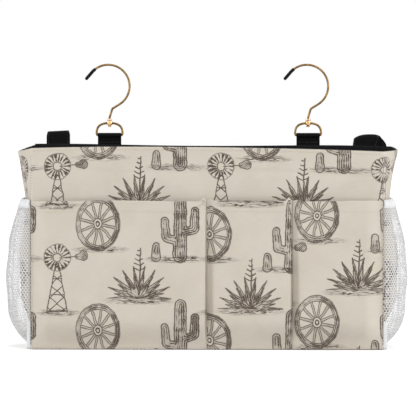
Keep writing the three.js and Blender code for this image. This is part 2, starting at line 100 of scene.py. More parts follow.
def linear(colour):
    """An sRGB hex colour as the linear values that a socket takes."""
    shares = [(colour >> shift & 255) / 255 for shift in (16, 8, 0)]
    return [s / 12.92 if s <= 0.04045 else ((s + 0.055) / 1.055) ** 2.4 for s in shares] + [1]


def put(tree, kind, *inputs, out=0, named=None, **settings):
    """Adds a node. Inputs are values or sockets in the node's order, and named ones by name."""
    node = tree.nodes.new("ShaderNode" + kind)
    for setting, value in settings.items():
        setattr(node, setting, value)
    pairs = list(zip(node.inputs, inputs))
    pairs += [(node.inputs[name], value) for name, value in (named or {}).items()]
    for socket, value in pairs:
        if isinstance(value, bpy.types.NodeSocket):
            tree.links.new(value, socket)
        else:
            socket.default_value = value
    return node.outputs[out] if node.outputs else None


def chain(tree, operation, *values):
    """Math nodes that take one value after another into the first."""
    result = values[0]
    for value in values[1:]:
        result = put(tree, "Math", result, value, operation=operation)
    return result


def finish_of(name, dress):
    """A material of that name, whose surface is what dress(tree) returns."""
    material = bpy.data.materials.new(name)
    material.use_nodes = True
    tree = material.node_tree
    tree.nodes.clear()
    put(tree, "OutputMaterial", dress(tree))
    return material


def seen(tree):
    """One for what the camera sees, straight or by way of metal or glass, and nought for the
    light that falls on other things."""
    rays = put(tree, "LightPath").node.outputs
    kinds = ("Is Camera Ray", "Is Glossy Ray", "Is Transmission Ray")
    return chain(tree, "MAXIMUM", *(rays[kind] for kind in kinds))


def white_paper(tree):
    """Matt white paper that keeps the shadow, and further off is seen as white as the room."""
    distance = put(tree, "VectorMath", put(tree, "TexCoord", out=3), out=1, operation="LENGTH")
    lift = put(tree, "MapRange", distance, 0.5, 2.5, 0.42, 1.0)
    lift = chain(tree, "MULTIPLY", lift, seen(tree))
    lit = put(tree, "BsdfDiffuse", linear(0xECECEC))
    return put(tree, "AddShader", lit, put(tree, "Emission", linear(0xFFFFFF), lift))


def lay_stage():
    bpy.ops.mesh.primitive_plane_add(size=14)
    floor = bpy.context.object
    floor.name = "studio_floor"
    floor.data.materials.append(finish_of("studio_paper", white_paper))


def hang_lamp(name, place, size, watts):
    """A round lamp that faces the middle of the bag."""
    bpy.ops.object.light_add(type="AREA", location=place)
    lamp = bpy.context.object
    lamp.name = name
    lamp.data.shape = "DISK"
    lamp.data.size = size
    lamp.data.energy = watts
    towards = Vector((0, 0, 0.12)) - Vector(place)
    lamp.rotation_euler = towards.to_track_quat("-Z", "Y").to_euler()


def set_camera():
    place = Vector((0.100, -4.500, 0.330))
    target = Vector((0.0002, 0, 0.1473))
    turned = (target - place).to_track_quat("-Z", "Y").to_euler()
    bpy.ops.object.camera_add(location=place, rotation=turned)
    camera = bpy.context.object
    camera.name = "studio_camera"
    camera.data.lens = 366.8
    camera.data.sensor_width = 36
    camera.data.clip_end = 60
    bpy.context.scene.camera = camera


def light_the_room():
    world = bpy.data.worlds.new("studio")
    bpy.context.scene.world = world
    world.use_nodes = True
    tree = world.node_tree
    tree.nodes.clear()
    strength = put(tree, "MapRange", seen(tree), 0.0, 1.0, 0.27, 1.0)
    put(tree, "OutputWorld", put(tree, "Background", linear(0xFFFFFF), strength))
    hang_lamp("key_lamp", (1.2, -3.2, 2.2), 1.2, 50)
    hang_lamp("fill_lamp", (-1.6, -3.2, 1.4), 2.0, 19)
    hang_lamp("left_lamp", (-3.0, -0.7, 0.8), 1.2, 37)
    hang_lamp("right_lamp", (3.0, -0.7, 0.8), 1.2, 36)
    hang_lamp("top_lamp", (0.2, 0.4, 3.0), 2.2, 24)
    hang_lamp("rim_lamp", (0.6, 2.2, 1.9), 1.4, 14)


# Shapes of lines


def smooth(share):
    """A share with soft ends, held between 0 and 1."""
    share = np.clip(share, 0, 1)
    return share * share * (3 - 2 * share)


def ridge(distance, width):
    """One on a line, and almost nothing two widths away from it."""
    return np.exp(-((distance / width) ** 2))


def quarter_round(share):
    """How far a rounded edge has fallen back, as a share of its radius."""
    return 1 - np.sqrt(1 - np.clip(share, 0, 1) ** 2)


def steps(start, end, step, *extra):
    """Even places from start to end about a step apart, with extra ones put in."""
    count = max(2, round((end - start) / step) + 1)
    places = np.concatenate([np.linspace(start, end, count), extra])
    places = np.unique(places.round(6))
    keep = np.concatenate([[True], np.diff(places) > 0.12 * MM])
    return places[keep]


def merged(*runs):
    """Several runs of places as one, in order and with none twice."""
    return np.unique(np.concatenate(runs).round(6))


def run_along(points):
    """The length along a line of points, up to each of them."""
    return np.concatenate([[0], np.cumsum(np.linalg.norm(np.diff(points, axis=0), axis=1))])


def unit(vectors):
    return vectors / np.maximum(np.linalg.norm(vectors, axis=-1, keepdims=True), 1e-12)


# Pieces


def new_piece(name, points, faces, material, uvs=None):
    """A mesh piece at the origin. uvs are real lengths in metres, one pair for each point."""
    mesh = bpy.data.meshes.new(name)
    mesh.from_pydata(np.asarray(points).tolist(), [], [list(map(int, f)) for f in faces])
    mesh.update()
    if uvs is not None:
        corner_points = np.empty(len(mesh.loops), int)
        mesh.loops.foreach_get("vertex_index", corner_points)
        layer = mesh.uv_layers.new(name="cut")
        layer.data.foreach_set("uv", np.asarray(uvs, float)[corner_points].ravel())
    mesh.materials.append(material)
    piece = bpy.data.objects.new(name, mesh)
    bpy.context.scene.collection.objects.link(piece)
    return piece


def pick(piece):
    bpy.ops.object.select_all(action="DESELECT")
    piece.select_set(True)
    bpy.context.view_layer.objects.active = piece


def settle(piece, angle=50):
    """Applies the piece's modifiers and shades it smooth but for edges sharper than the
    angle, in degrees."""
    pick(piece)
    for modifier in list(piece.modifiers):
        bpy.ops.object.modifier_apply(modifier=modifier.name)
    bpy.ops.object.shade_smooth_by_angle(angle=math.radians(angle))
    return piece


def joined(first, second):
    """The first piece with the second one made part of it."""
    pick(first)
    second.select_set(True)
    bpy.ops.object.join()
    return first


def thicken(piece, thickness, offset=-1, angle=50):
    """Gives a surface its thickness, away from the side that it shows or on both sides."""
    solid = piece.modifiers.new("thickness", "SOLIDIFY")
    solid.thickness = thickness
    solid.offset = offset
    solid.use_even_offset = False
    return settle(piece, angle)


def round_edges(piece, width, segments, angle=50):
    """Rounds a piece's sharp edges with a bevel."""
    bevel = piece.modifiers.new("rounded_edges", "BEVEL")
    bevel.width = width
    bevel.segments = segments
    bevel.limit_method = "ANGLE"
    return settle(piece, angle)


def cloth(name, across, along, place, material, thickness, cut=(0, 0), drop=None, flip=False):
    """A cloth panel over a grid of real lengths. place(a, b) gives its points, cut moves
    the print on it, and drop(a, b) says which squares are cut away."""
    a, b = np.meshgrid(across, along)
    points = np.stack(np.broadcast_arrays(*place(a, b)), axis=-1).reshape(-1, 3)
    columns = len(across)
    faces = []
    for r in range(len(along) - 1):
        for c in range(columns - 1):
            middle = (across[c] + across[c + 1]) / 2, (along[r] + along[r + 1]) / 2
            if drop is None or not drop(*middle):
                corner = r * columns + c
                square = [corner, corner + 1, corner + columns + 1, corner + columns]
                faces.append(square[::-1] if flip else square)
    uvs = np.stack([a.ravel() + cut[0], b.ravel() + cut[1]], axis=-1)
    return thicken(new_piece(name, points, faces, material, uvs), thickness)


def stitches(name, lines, outward, thread, length=2.3 * MM, gap=1.0 * MM, radius=0.2 * MM):
    """Thread stitches along lines of points on a cloth. outward is the way that the cloth
    faces, one for all or one for each point. Each stitch is a small bead, sunk at its ends."""
    sides = 6
    rings = (-0.5, -0.36, 0.0, 0.36, 0.5)
    swell = (0.25, 0.8, 1.0, 0.8, 0.25)
    lift = (-0.5, 0.5, 0.9, 0.5, -0.5)
    points, faces = [], []
    for line in lines:
        line = np.asarray(line, float)
        facing = np.broadcast_to(np.asarray(outward, float), line.shape)
        run = run_along(line)
        count = int(run[-1] // (length + gap))
        for i in range(count):
            middle = (i + 0.5) * run[-1] / count
            at = [np.interp(middle + r * length, run, line[:, k]) for r in rings for k in range(3)]
            at = np.array(at).reshape(-1, 3)
            out = unit(np.array([np.interp(middle, run, facing[:, k]) for k in range(3)]))
            side = unit(np.cross(out, at[-1] - at[0]))
            start = len(points)
            for place, wide, high in zip(at, swell, lift):
                for s in range(sides):
                    angle = 2 * math.pi * s / sides
                    points.append(place + radius * (
                        out * (high + wide * math.sin(angle)) + side * wide * math.cos(angle)))
            for r in range(len(rings) - 1):
                for s in range(sides):
                    a, b = start + r * sides + s, start + r * sides + (s + 1) % sides
                    faces.append([b, a, a + sides, b + sides])
            faces.append([start + s for s in range(sides)])
            faces.append([start + (len(rings) - 1) * sides + s for s in range(sides)][::-1])
    return settle(new_piece(name, points, faces, thread), 80)


def hand_over(piece, body, slot, *nodes):
    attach(piece, body)
    if nodes:
        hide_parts(*nodes)


# The bag


def sway(x, z):
    """The front wall's soft unevenness. The back wall has the same, moved along."""
    return MM * (
        0.45 * np.sin(x * 23 + 1.0 + 4 * z)
        + 0.30 * np.sin(x * 51 - z * 37 + 0.4)
        + 0.25 * np.sin(z * 61 + x * 14)
        + 0.12 * np.sin(x * 133 + z * 71)
    )


def puckers(distance, along, reach=7 * MM):
    """Small ripples beside a seam, from the thread drawing the cloth in."""
    ripple = np.sin(along * 2 * math.pi / (5.3 * MM) + 1.7 * np.sin(along * 160))
    return 0.16 * MM * ripple * ridge(distance, reach)


def front_rim(x):
    """How far the front rim lies above the drawn height: its ends sag, the right one more."""
    return MM * np.polyval([-0.75, 0.55, -2.09, -2.25, 1.09], x / HALF_WIDTH)


def back_rim(x):
    """How far the back rim lies above the drawn height: it rises a little beside the straps."""
    return MM * np.polyval([-4.05, -1.06, 4.76, -0.32, -0.32], x / HALF_WIDTH)


def rim_lift(rim, x, z):
    """How far a wall is lifted or sags at a height, as its rim does and fading out below."""
    still = 110 * MM
    return rim(x) * smooth((z - still) / (BAG_HEIGHT - still))


def arch(y):
    """One at a gusset's middle and nought at its corners."""
    return np.cos(math.pi / 2 * np.clip(y / GUSSET_HALF, -1, 1))


def side_rim(side, y):
    """How far a gusset's rim hangs below the drawn height, from front to back corner. The
    right one has a crest behind its middle."""
    share = (y / HALF_DEPTH + 1) / 2
    ends = (1 - share) * front_rim(side * HALF_WIDTH) + share * back_rim(side * HALF_WIDTH)
    if side < 0:
        return 5.0 * MM * arch(y) - ends
    crest = 1.8 * MM * np.sin(math.pi * np.clip(y / GUSSET_HALF, 0, 1)) ** 2
    return 0.6 * MM * arch(y) - crest - ends


def side_bulge(side, y, z):
    """How far a gusset stands out of the bag's side: most at the rim's middle, and again in
    a belly behind the net."""
    at_rim, at_belly = (18.5 * MM, 14 * MM) if side < 0 else (17.0 * MM, 16 * MM)
    rise = np.clip((z - 60 * MM) / (BAG_HEIGHT - 60 * MM), 0, 1.02)
    folds = 1 + 0.05 * np.sin(z * 90 + side) * np.sin(y * 95 + 1.3)
    belly = smooth((z - 10 * MM) / (50 * MM)) * smooth((162 * MM - z) / (70 * MM))
    return at_belly * belly * arch(y) ** 0.6 + at_rim * arch(y) * rise**1.75 * folds


def corner_window(x, z):
    """Where the wall is free to sway: not at its sewn corners, foot and rim."""
    sides = smooth((HALF_WIDTH - np.abs(x)) / (26 * MM))
    return sides * smooth(z / (22 * MM)) * (1 - 0.6 * smooth((z - 190 * MM) / (22 * MM)))


def folded_wall(x, b, rim):
    """A wall's distance in from its outer face, and its height as drawn and as it hangs. b is
    the length along the cloth: up the outside, round the rim's fold and in to the hem's edge."""
    turn = np.clip((b - WALL_STRAIGHT) / WALL_FOLD, 0, math.pi / 2)
    depth = WALL_FOLD * (1 - np.cos(turn)) + np.clip(b - WALL_LENGTH, 0, None)
    z = WALL_FOOT + np.minimum(b, WALL_STRAIGHT) + WALL_FOLD * np.sin(turn)
    corner = quarter_round((np.abs(x) - WALL_EDGE) / (HALF_WIDTH - WALL_EDGE))
    depth = depth + 1.7 * MM * corner * (1 - np.sin(turn))
    return depth, z, z + rim_lift(rim, x, z)


def sewn_dents(x, z):
    """The dents that a wall's stitches draw into its hem and corners."""
    from_hem = z - BAG_HEIGHT + HEM_STITCH
    ripple = puckers(from_hem, x) + puckers(HALF_WIDTH - np.abs(x), z)
    return 0.35 * MM * ridge(from_hem, 0.8 * MM) + 0.7 * ripple


def front_wall(x, b):
    depth, z, height = folded_wall(x, b, front_rim)
    deep = (0.5 + 0.5 * smooth(x / 0.06)) * MM
    crease = deep * ridge(z - 186 * MM - 1.5 * MM * np.sin(x * 30), 2.2 * MM)
    loose = (sway(x, z) + crease) * corner_window(x, z) + sewn_dents(x, z)
    return x, -HALF_DEPTH + depth + loose * (depth < 1 * MM), height


def back_wall(x, b):
    depth, z, height = folded_wall(x, b, back_rim)
    loose = sway(x + 0.11, z * 1.3) * corner_window(x, z) + sewn_dents(x, z)
    return x, HALF_DEPTH - depth - loose * (depth < 1 * MM), height


def wall_rows():
    """Rows of a wall's cloth, closer towards the rim and round its fold."""
    near_rim = WALL_STRAIGHT - 8 * MM
    return merged(
        steps(0, near_rim, 2.2 * MM), steps(near_rim, WALL_STRAIGHT, 0.8 * MM),
        steps(WALL_STRAIGHT, WALL_LENGTH, 0.35 * MM),
        steps(WALL_LENGTH, WALL_LENGTH + HEM_LENGTH, 1.0 * MM, WALL_LENGTH + 0.7 * MM))


def in_a_slot(x, b):
    """Where the back hem is cut for a webbing tab to come up through it."""
    return abs(abs(x) - HOOK_PLACE) < TAB_SLOT and b > WALL_LENGTH + 0.6 * MM


def lining_rows():
    """Rows of a lining's cloth, closer in the roll at its top."""
    roll = (LINING_HEIGHT - share * LINING_ROLL for share in (1, 0.75, 0.5, 0.25))
    return steps(0, LINING_HEIGHT, 3.6 * MM, *roll)


def rolled(b):
    """The share of the roll with which a lining leans over the wall's hem."""
    return smooth((b - LINING_HEIGHT + LINING_ROLL) / LINING_ROLL)


def make_walls(canvas, lining):
    corners = (s * (WALL_EDGE + d * MM) for s in (-1, 1) for d in (0, 0.7, 1.3, 1.8, 2.1))
    across = steps(-HALF_WIDTH, HALF_WIDTH, 2.4 * MM, *corners)
    slots = [side * (HOOK_PLACE + s * TAB_SLOT) for side in (-1, 1) for s in (-1, 1)]
    across_back = merged([x for x in across if min(abs(x - s) for s in slots) > 0.5 * MM], slots)
    front = cloth("front_panel", across, wall_rows(), front_wall, canvas, CLOTH, (0.2, 0.0))
    back = cloth("back_panel", across_back, wall_rows(), back_wall, canvas, CLOTH, (0.64, 0.03),
                 drop=in_a_slot, flip=True)
    hand_over(front, "root", "printed_cloth", "front_shell")
    hand_over(back, "root", "printed_cloth", "back_shell")

    for name, sign, rim in (("lining_front", -1, front_rim), ("lining_back", 1, back_rim)):
        def hung(x, b):
            z = LINING_FOOT + b
            wrinkle = 0.9 * MM * (1 + np.sin(x * 31 + z * 24 * sign + 2.2 * sign)) / 2
            wrinkle += 0.5 * MM * (1 + np.sin(z * 74 - x * 19)) / 2
            wrinkle *= corner_window(x, z * 0.9)
            y = SLOT_INSIDE - LINING - wrinkle + 0.55 * MM * rolled(b) ** 2
            corner = LINING_INSIDE - SEAT_GAP
            out = np.where(x < 0, side_bulge(-1, corner, z), side_bulge(1, corner, z)) + 0.2 * MM
            out = np.sign(x) * out * smooth((np.abs(x) - LINING_HALF) / (25 * MM) + 1)
            return x + out, sign * y, z + rim_lift(rim, x, z) + 0.6 * MM * rolled(b)

        piece = cloth(f"{name}_cloth", steps(-LINING_HALF, LINING_HALF, 4 * MM), lining_rows(),
                      hung, lining, LINING, flip=sign < 0)
        hand_over(piece, "root", "lining", name)


def make_gussets(canvas, lining):
    straight = BAG_HEIGHT - WALL_FOOT - GUSSET_FOLD
    length = straight + GUSSET_FOLD * math.pi / 2
    rows = merged(steps(0, straight, 2.4 * MM), steps(straight, length, 0.3 * MM),
                  [length + 0.75 * MM])
    span = LINING_INSIDE + SEAT_GAP
    for name, side in SIDES:
        def outside(y, b):
            turn = np.clip((b - straight) / GUSSET_FOLD, 0, math.pi / 2)
            beyond = np.clip(b - length, 0, None)
            top = BAG_HEIGHT - side_rim(side, y) - GUSSET_FOLD
            z = WALL_FOOT + np.minimum(b, straight) / straight * (top - WALL_FOOT)
            ripple = 0.7 * puckers(GUSSET_HALF - np.abs(y), z) * (b < straight)
            x = HALF_WIDTH + side_bulge(side, y, z) + ripple
            x = x - GUSSET_FOLD * (1 - np.cos(turn)) - beyond
            return side * x, y, z + GUSSET_FOLD * np.sin(turn)

        piece = cloth(f"gusset_cloth_{name}", steps(-GUSSET_HALF, GUSSET_HALF, 2.2 * MM), rows,
                      outside, canvas, CLOTH, (0.07 + 0.36 * (side > 0), 0.0), flip=side < 0)
        hand_over(piece, "root", "printed_cloth", f"gusset_{name}")

        def lined(y, b):
            top = BAG_HEIGHT - side_rim(side, y) + 0.5 * MM * rolled(b)
            z = LINING_FOOT + b / LINING_HEIGHT * (top - LINING_FOOT)
            free = smooth((span - np.abs(y)) / (12 * MM)) * smooth((z - LINING_FOOT) / (12 * MM))
            wrinkle = 1.1 * MM * (1 + np.sin(y * 97 + z * 33 + side)) / 2 * free
            x = LINING_HALF - LINING + side_bulge(side, y, z) - wrinkle + 0.5 * MM * rolled(b) ** 2
            return side * x, y, z

        piece = cloth(f"lining_{name}_cloth", steps(-span, span, 3 * MM), lining_rows(),
                      lined, lining, LINING, flip=side > 0)
        hand_over(piece, "root", "lining", f"lining_{name}")


def make_base(canvas, lining, foam):
    brim = 1.4 * MM

    def under(x, y):
        past = np.maximum(np.abs(x) - HALF_WIDTH, np.abs(y) - HALF_DEPTH)
        return x, y, 0.75 * MM * quarter_round(past / brim + 1)

    def places(half):
        at_brim = (s * (half - d) for s in (-1, 1) for d in (brim, 0.8 * MM, 0.4 * MM, 0.15 * MM))
        return steps(-half, half, 5 * MM, *at_brim)

    base = cloth("base_cloth", places(HALF_WIDTH), places(HALF_DEPTH), under, canvas, CLOTH,
                 (0.2, 0.9), flip=True)
    hand_over(base, "root", "printed_cloth", "base_shell")

    low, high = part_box("lining_base")

    def floor(x, y):
        free = smooth((high.x - np.abs(x)) / (15 * MM)) * smooth((high.y - np.abs(y)) / (15 * MM))
        ripple = 0.3 * MM * (1 + np.sin(x * 40 + y * 30) * np.sin(y * 90 - x * 25)) * free
        return x, y, low.z + LINING + ripple

    piece = cloth("lining_base_cloth", steps(low.x, high.x, 5 * MM), steps(low.y, high.y, 4 * MM),
                  floor, lining, LINING)
    hand_over(piece, "root", "lining", "lining_base")

    low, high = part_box("front_padding")
    bpy.ops.object.select_all(action="DESELECT")
    bpy.ops.mesh.primitive_cube_add(size=1, location=(low + high) / 2)
    pad = bpy.context.object
    pad.name = "front_foam"
    pad.scale = high - low - Vector((0.4, 0.2, 0.4)) * MM
    bpy.ops.object.transform_apply(location=True, rotation=True, scale=True)
    bpy.ops.object.mode_set(mode="EDIT")
    bpy.ops.mesh.select_all(action="SELECT")
    bpy.ops.mesh.subdivide(number_cuts=24)
    bpy.ops.object.mode_set(mode="OBJECT")
    round_edges(pad, 0.8 * MM, 3)
    pad.data.materials.append(foam)
    hand_over(pad, "root", "foam", "front_padding")


# The front pockets

POCKET_CLOTH = 0.75 * MM
POCKET_OUT = 1.9 * MM
POCKET_FOOT = 1.0 * MM
MOUTH_FOLD = 0.8 * MM
MOUTH_HEM = 13 * MM
MOUTH_STITCH = 11 * MM
POCKET_STRAIGHT = POCKET_TOP - POCKET_FOOT - MOUTH_FOLD
POCKET_LENGTH = POCKET_STRAIGHT + math.pi * MOUTH_FOLD
PLEAT_COLUMNS = (0.3, 0.6, 0.8, 1, 1.2, 1.4, 1.6, 1.8, 2.1, 2.5, 3, 3.5, 4, 4.5, 5, 5.5, 6,
                 7, 8, 9, 10)


def pocket_depth(x, z, left, right):
    """How far a pocket stands out of the wall behind it, less towards its mouth. It slopes
    softly from the bag's corners and from its foot. Between two pockets there is a pleat:
    the pocket on its left folds back close to the seam, and the one on its right is soft."""
    in_left, in_right = (x - left) / MM, (right - x) / MM
    from_left = smooth((in_left - 1) / 18 if left == -HALF_WIDTH else (in_left + 1.5) / 13.5)
    if right == HALF_WIDTH:
        from_right = smooth((in_right - 1) / 18)
    else:
        from_right = smooth((in_right - 0.5) / 1.3) * (0.68 + 0.32 * smooth((in_right + 3) / 13))
    from_floor = smooth((z - POCKET_FOOT - 0.5 * MM) / (30 * MM))
    rise = smooth((z - POCKET_FOOT) / (POCKET_TOP - POCKET_FOOT))
    return (11 - 6 * rise) * MM * from_left * from_right * from_floor


def pocket_front(x, b, phase, left, right):
    """A front pocket's cloth, b along it: up the front, over the mouth's fold and down the
    hem behind it. The phase gives each pocket its own folds."""
    turn = np.clip((b - POCKET_STRAIGHT) / MOUTH_FOLD, 0, math.pi)
    back = np.clip(b - POCKET_LENGTH, 0, None)
    z = POCKET_FOOT + np.minimum(b, POCKET_STRAIGHT) + MOUTH_FOLD * np.sin(turn) - back
    depth = pocket_depth(x, z, left, right)
    free = np.clip(depth / (9 * MM), 0, 1)
    belly = MM * free * (
        0.8 * np.sin(x * 34 + 2.0 * phase + z * 11) * smooth(z / (60 * MM))
        + 0.5 * np.sin(z * 45 + x * 22)
        + 0.3 * np.sin(x * 88 - z * 52 + phase)
    )
    seams = np.minimum(x - left, right - x)
    ripple = puckers(seams - 1.6 * MM, z, 5 * MM) + 1.2 * puckers(z - POCKET_FOOT, x)
    groove = 0.5 * MM * ridge(z - POCKET_TOP + MOUTH_STITCH, 1.0 * MM) * free
    outer = HALF_DEPTH + POCKET_OUT + depth - belly - 0.8 * ripple - groove
    corner = quarter_round((np.abs(x) - HALF_WIDTH + 1.6 * MM) / (1.6 * MM))
    inward = MOUTH_FOLD * (1 - np.cos(turn)) + 1.3 * MM * corner

    mouth = 0.5 * MM * np.sin(x * 40 + phase) * smooth(seams / (9 * MM))
    if right != HALF_WIDTH:
        mouth = mouth + 3.8 * MM * ridge(x - right + 3.6 * MM, 2.2 * MM)
    if left != -HALF_WIDTH:
        mouth = mouth + 1.4 * MM * ridge(x - left - 4.5 * MM, 2.4 * MM)
    return x, inward - outer, z + mouth * smooth((z - 125 * MM) / (32 * MM))


def make_pockets(canvas, thread):
    near_mouth = POCKET_STRAIGHT - 14 * MM
    rows = merged(
        steps(0, near_mouth, 2.3 * MM), steps(near_mouth, POCKET_STRAIGHT, 1 * MM),
        steps(POCKET_STRAIGHT, POCKET_LENGTH, 0.42 * MM),
        steps(POCKET_LENGTH, POCKET_LENGTH + MOUTH_HEM, 2 * MM))
    for name, phase, left, right, cut, spare in (
        ("wide", -1, -HALF_WIDTH, -0.15 * MM, (0.2, 0.318), 14 * MM),
        ("middle", 0, 0.15 * MM, 89.85 * MM, (0.255, 0.441), 12 * MM),
        ("narrow", 1, 90.15 * MM, HALF_WIDTH, (0.142, 0.533), 12 * MM),
    ):
        def front(x, b):
            return pocket_front(x, b, phase, left, right)

        pleats = (edge + s * d * MM for edge, s in ((left, 1), (right, -1)) for d in PLEAT_COLUMNS)
        piece = cloth(f"pocket_cloth_{name}", steps(left, right, 2.4 * MM, *pleats), rows, front,
                      canvas, POCKET_CLOTH, cut)
        hand_over(piece, "root", "printed_cloth", f"pocket_{name}")
        mouth_x = np.linspace(left + 1.2 * MM, right - 1.2 * MM, 240)
        seam_b = np.linspace(1 * MM, POCKET_STRAIGHT - 1 * MM, 260)
        runs = [(mouth_x, POCKET_STRAIGHT - MOUTH_STITCH), (mouth_x, 1.4 * MM),
                (left + 1.3 * MM, seam_b), (right - 1.3 * MM, seam_b)]
        lines = [np.stack(front(*np.broadcast_arrays(x, b)), axis=-1) for x, b in runs]
        seam = stitches(f"pocket_stitches_{name}", lines, (0, -1, 0), thread)
        hand_over(seam, "root", "printed_cloth")


# The seams of the bag


def make_hem_stitches(thread, dark_thread):
    run = np.linspace(-HALF_WIDTH + 2 * MM, HALF_WIDTH - 2 * MM, 500)
    level = np.full(500, BAG_HEIGHT - WALL_FOOT - HEM_STITCH)
    for name, wall, facing in (("front", front_wall, -1), ("back", back_wall, 1)):
        piece = stitches(f"hem_stitches_{name}", [np.stack(wall(run, level), -1)],
                         (0, facing, 0), thread)
        hand_over(piece, "root", "printed_cloth")

    for name, side in SIDES:
        def corner_line(low, high, x, y):
            z = np.linspace(low * MM, high * MM, 300)
            return np.stack(np.broadcast_arrays(side * (HALF_WIDTH + x * MM), y, z), -1)

        lines = [corner_line(8, 205, -0.15, HALF_DEPTH - 1.75 * MM),
                 corner_line(162, 205, -0.15, 1.75 * MM - HALF_DEPTH)]
        seam = stitches(f"corner_stitches_{name}", lines, (side, 0, 0), dark_thread,
                        1.6 * MM, 1.1 * MM, 0.24 * MM)
        low_seam = stitches(f"corner_seam_{name}",
                            [corner_line(5, 158, 0.3, -HALF_DEPTH - 1.0 * MM)], (0, -1, 0),
                            dark_thread, 3.0 * MM, 0.3 * MM, 0.3 * MM)
        hand_over(joined(seam, low_seam), "root", "printed_cloth")


# The net pockets

NET_HALF = 47.5 * MM
NET_FOOT = 3.0 * MM
NET_WALL = HALF_WIDTH + SEAT_GAP
NET_BELLY = (28.3 * MM, 25.6 * MM)
NET_HEIGHTS = (0, 0.036, 0.077, 0.12, 0.18, 0.26, 0.4, 0.55, 0.7, 0.83, 0.93, 1)
NET_BULGES = (0, 0.39, 0.6, 0.74, 0.86, 0.94, 1, 0.98, 0.88, 0.73, 0.55, 0.36)
NET_PITCH = 3.0 * MM
NET_HOLE = 0.78
NET_YARN = 0.42 * MM
ELASTIC = 0.9 * MM
ELASTIC_WIDTH = 8.6 * MM
ELASTIC_OUT = 0.8 * MM
BINDING = 0.8 * MM
BINDING_CORNER = 2.2 * MM


def net_bulge(side, z):
    """How far the net stands out of the bag's side at its middle, rounded between the
    heights where it was measured."""
    share = np.clip((z - NET_FOOT) / (ELASTIC_TOP - NET_FOOT), 0, 1)
    blur = np.minimum(0.035, np.minimum(share, 1 - share))
    near = [np.interp(share + s * blur, NET_HEIGHTS, NET_BULGES) for s in (-1, -0.5, 0, 0.5, 1)]
    return NET_BELLY[side > 0] * sum(near) / len(near)


def net_arch(y):
    """The net's plan, from nought at its corners to one at its middle, with full cheeks."""
    return np.clip(np.cos(math.pi / 2 * np.clip(y / NET_HALF, -1, 1)), 0, 1) ** 0.45


def net_place(side, y, z, out=0.0):
    """A point of the gathered net, as much further out as asked."""
    slack = 1 + 0.035 * np.sin(z * 70 + side) * np.sin(y * 60 + 0.6)
    slack = slack - 0.02 * np.sin(z * 150 + y * 40)
    folds = 0.8 * MM * np.sin(y * 520 + 2.2 * np.sin(z * 26 + side) + side)
    folds = folds * smooth((z - 8 * MM) / (40 * MM))
    reach = (net_bulge(side, z) * slack + folds) * net_arch(y)
    return side * (NET_WALL + reach + out), y, z


def net_lengths(side):
    """Tables that turn lengths along the net into places across and up it."""
    y = NET_HALF * np.sin(np.linspace(-math.pi / 2, math.pi / 2, 401))
    across = run_along(np.stack([0.8 * NET_BELLY[side > 0] * net_arch(y), y], -1))
    z = np.linspace(NET_FOOT, ELASTIC_FOOT + 1.5 * MM, 401)
    up = run_along(np.stack([net_bulge(side, z), z], -1))
    return across - across[-1] / 2, y, up, z


def knit_net(name, side, yarn):
    """The net as six-sided meshes: each one's ring of yarn round its hole. They are drawn
    coarser than the real ones, so that they show."""
    across, ys, up, zs = net_lengths(side)
    wide, high = across[-1], up[-1]
    corners = [math.radians(30 + 60 * k) for k in range(6)]
    ring = NET_PITCH / math.sqrt(3)
    row_height = NET_PITCH * math.sqrt(3) / 2
    nearest = 0.2 * NET_PITCH
    margin = 0.16 * NET_PITCH

    def corner_of(a, b, angle, share, inset):
        return (float(np.clip(a + share * ring * math.cos(angle), inset - wide, wide - inset)),
                float(np.clip(b + share * ring * math.sin(angle), inset, high - inset)))

    points, faces, known = [], [], {}
    for j in range(int(high / row_height) + 2):
        for i in range(int(-wide / NET_PITCH) - 1, int(wide / NET_PITCH) + 2):
            a, b = (i + 0.5 * (j % 2)) * NET_PITCH, j * row_height
            if abs(a) > wide - nearest or not nearest <= b <= high - nearest:
                continue
            outer, inner = [], []
            for angle in corners:
                p = corner_of(a, b, angle, 1, 0)
                key = round(p[0] / (0.01 * MM)), round(p[1] / (0.01 * MM))
                if key not in known:
                    known[key] = len(points)
                    points.append(p)
                outer.append(known[key])
                inner.append(len(points))
                points.append(corner_of(a, b, angle, NET_HOLE, margin))
            for k in range(6):
                n = (k + 1) % 6
                quad = [outer[k], outer[n], inner[n], inner[k]]
                if outer[k] != outer[n]:
                    faces.append(quad if side > 0 else quad[::-1])
    flat = np.array(points)
    y, z = np.interp(flat[:, 0], across, ys), np.interp(flat[:, 1], up, zs)
    placed = np.stack(net_place(side, y, z, SEAT_GAP), -1)
    return thicken(new_piece(name, placed, faces, yarn, flat), NET_YARN, 0, 60)


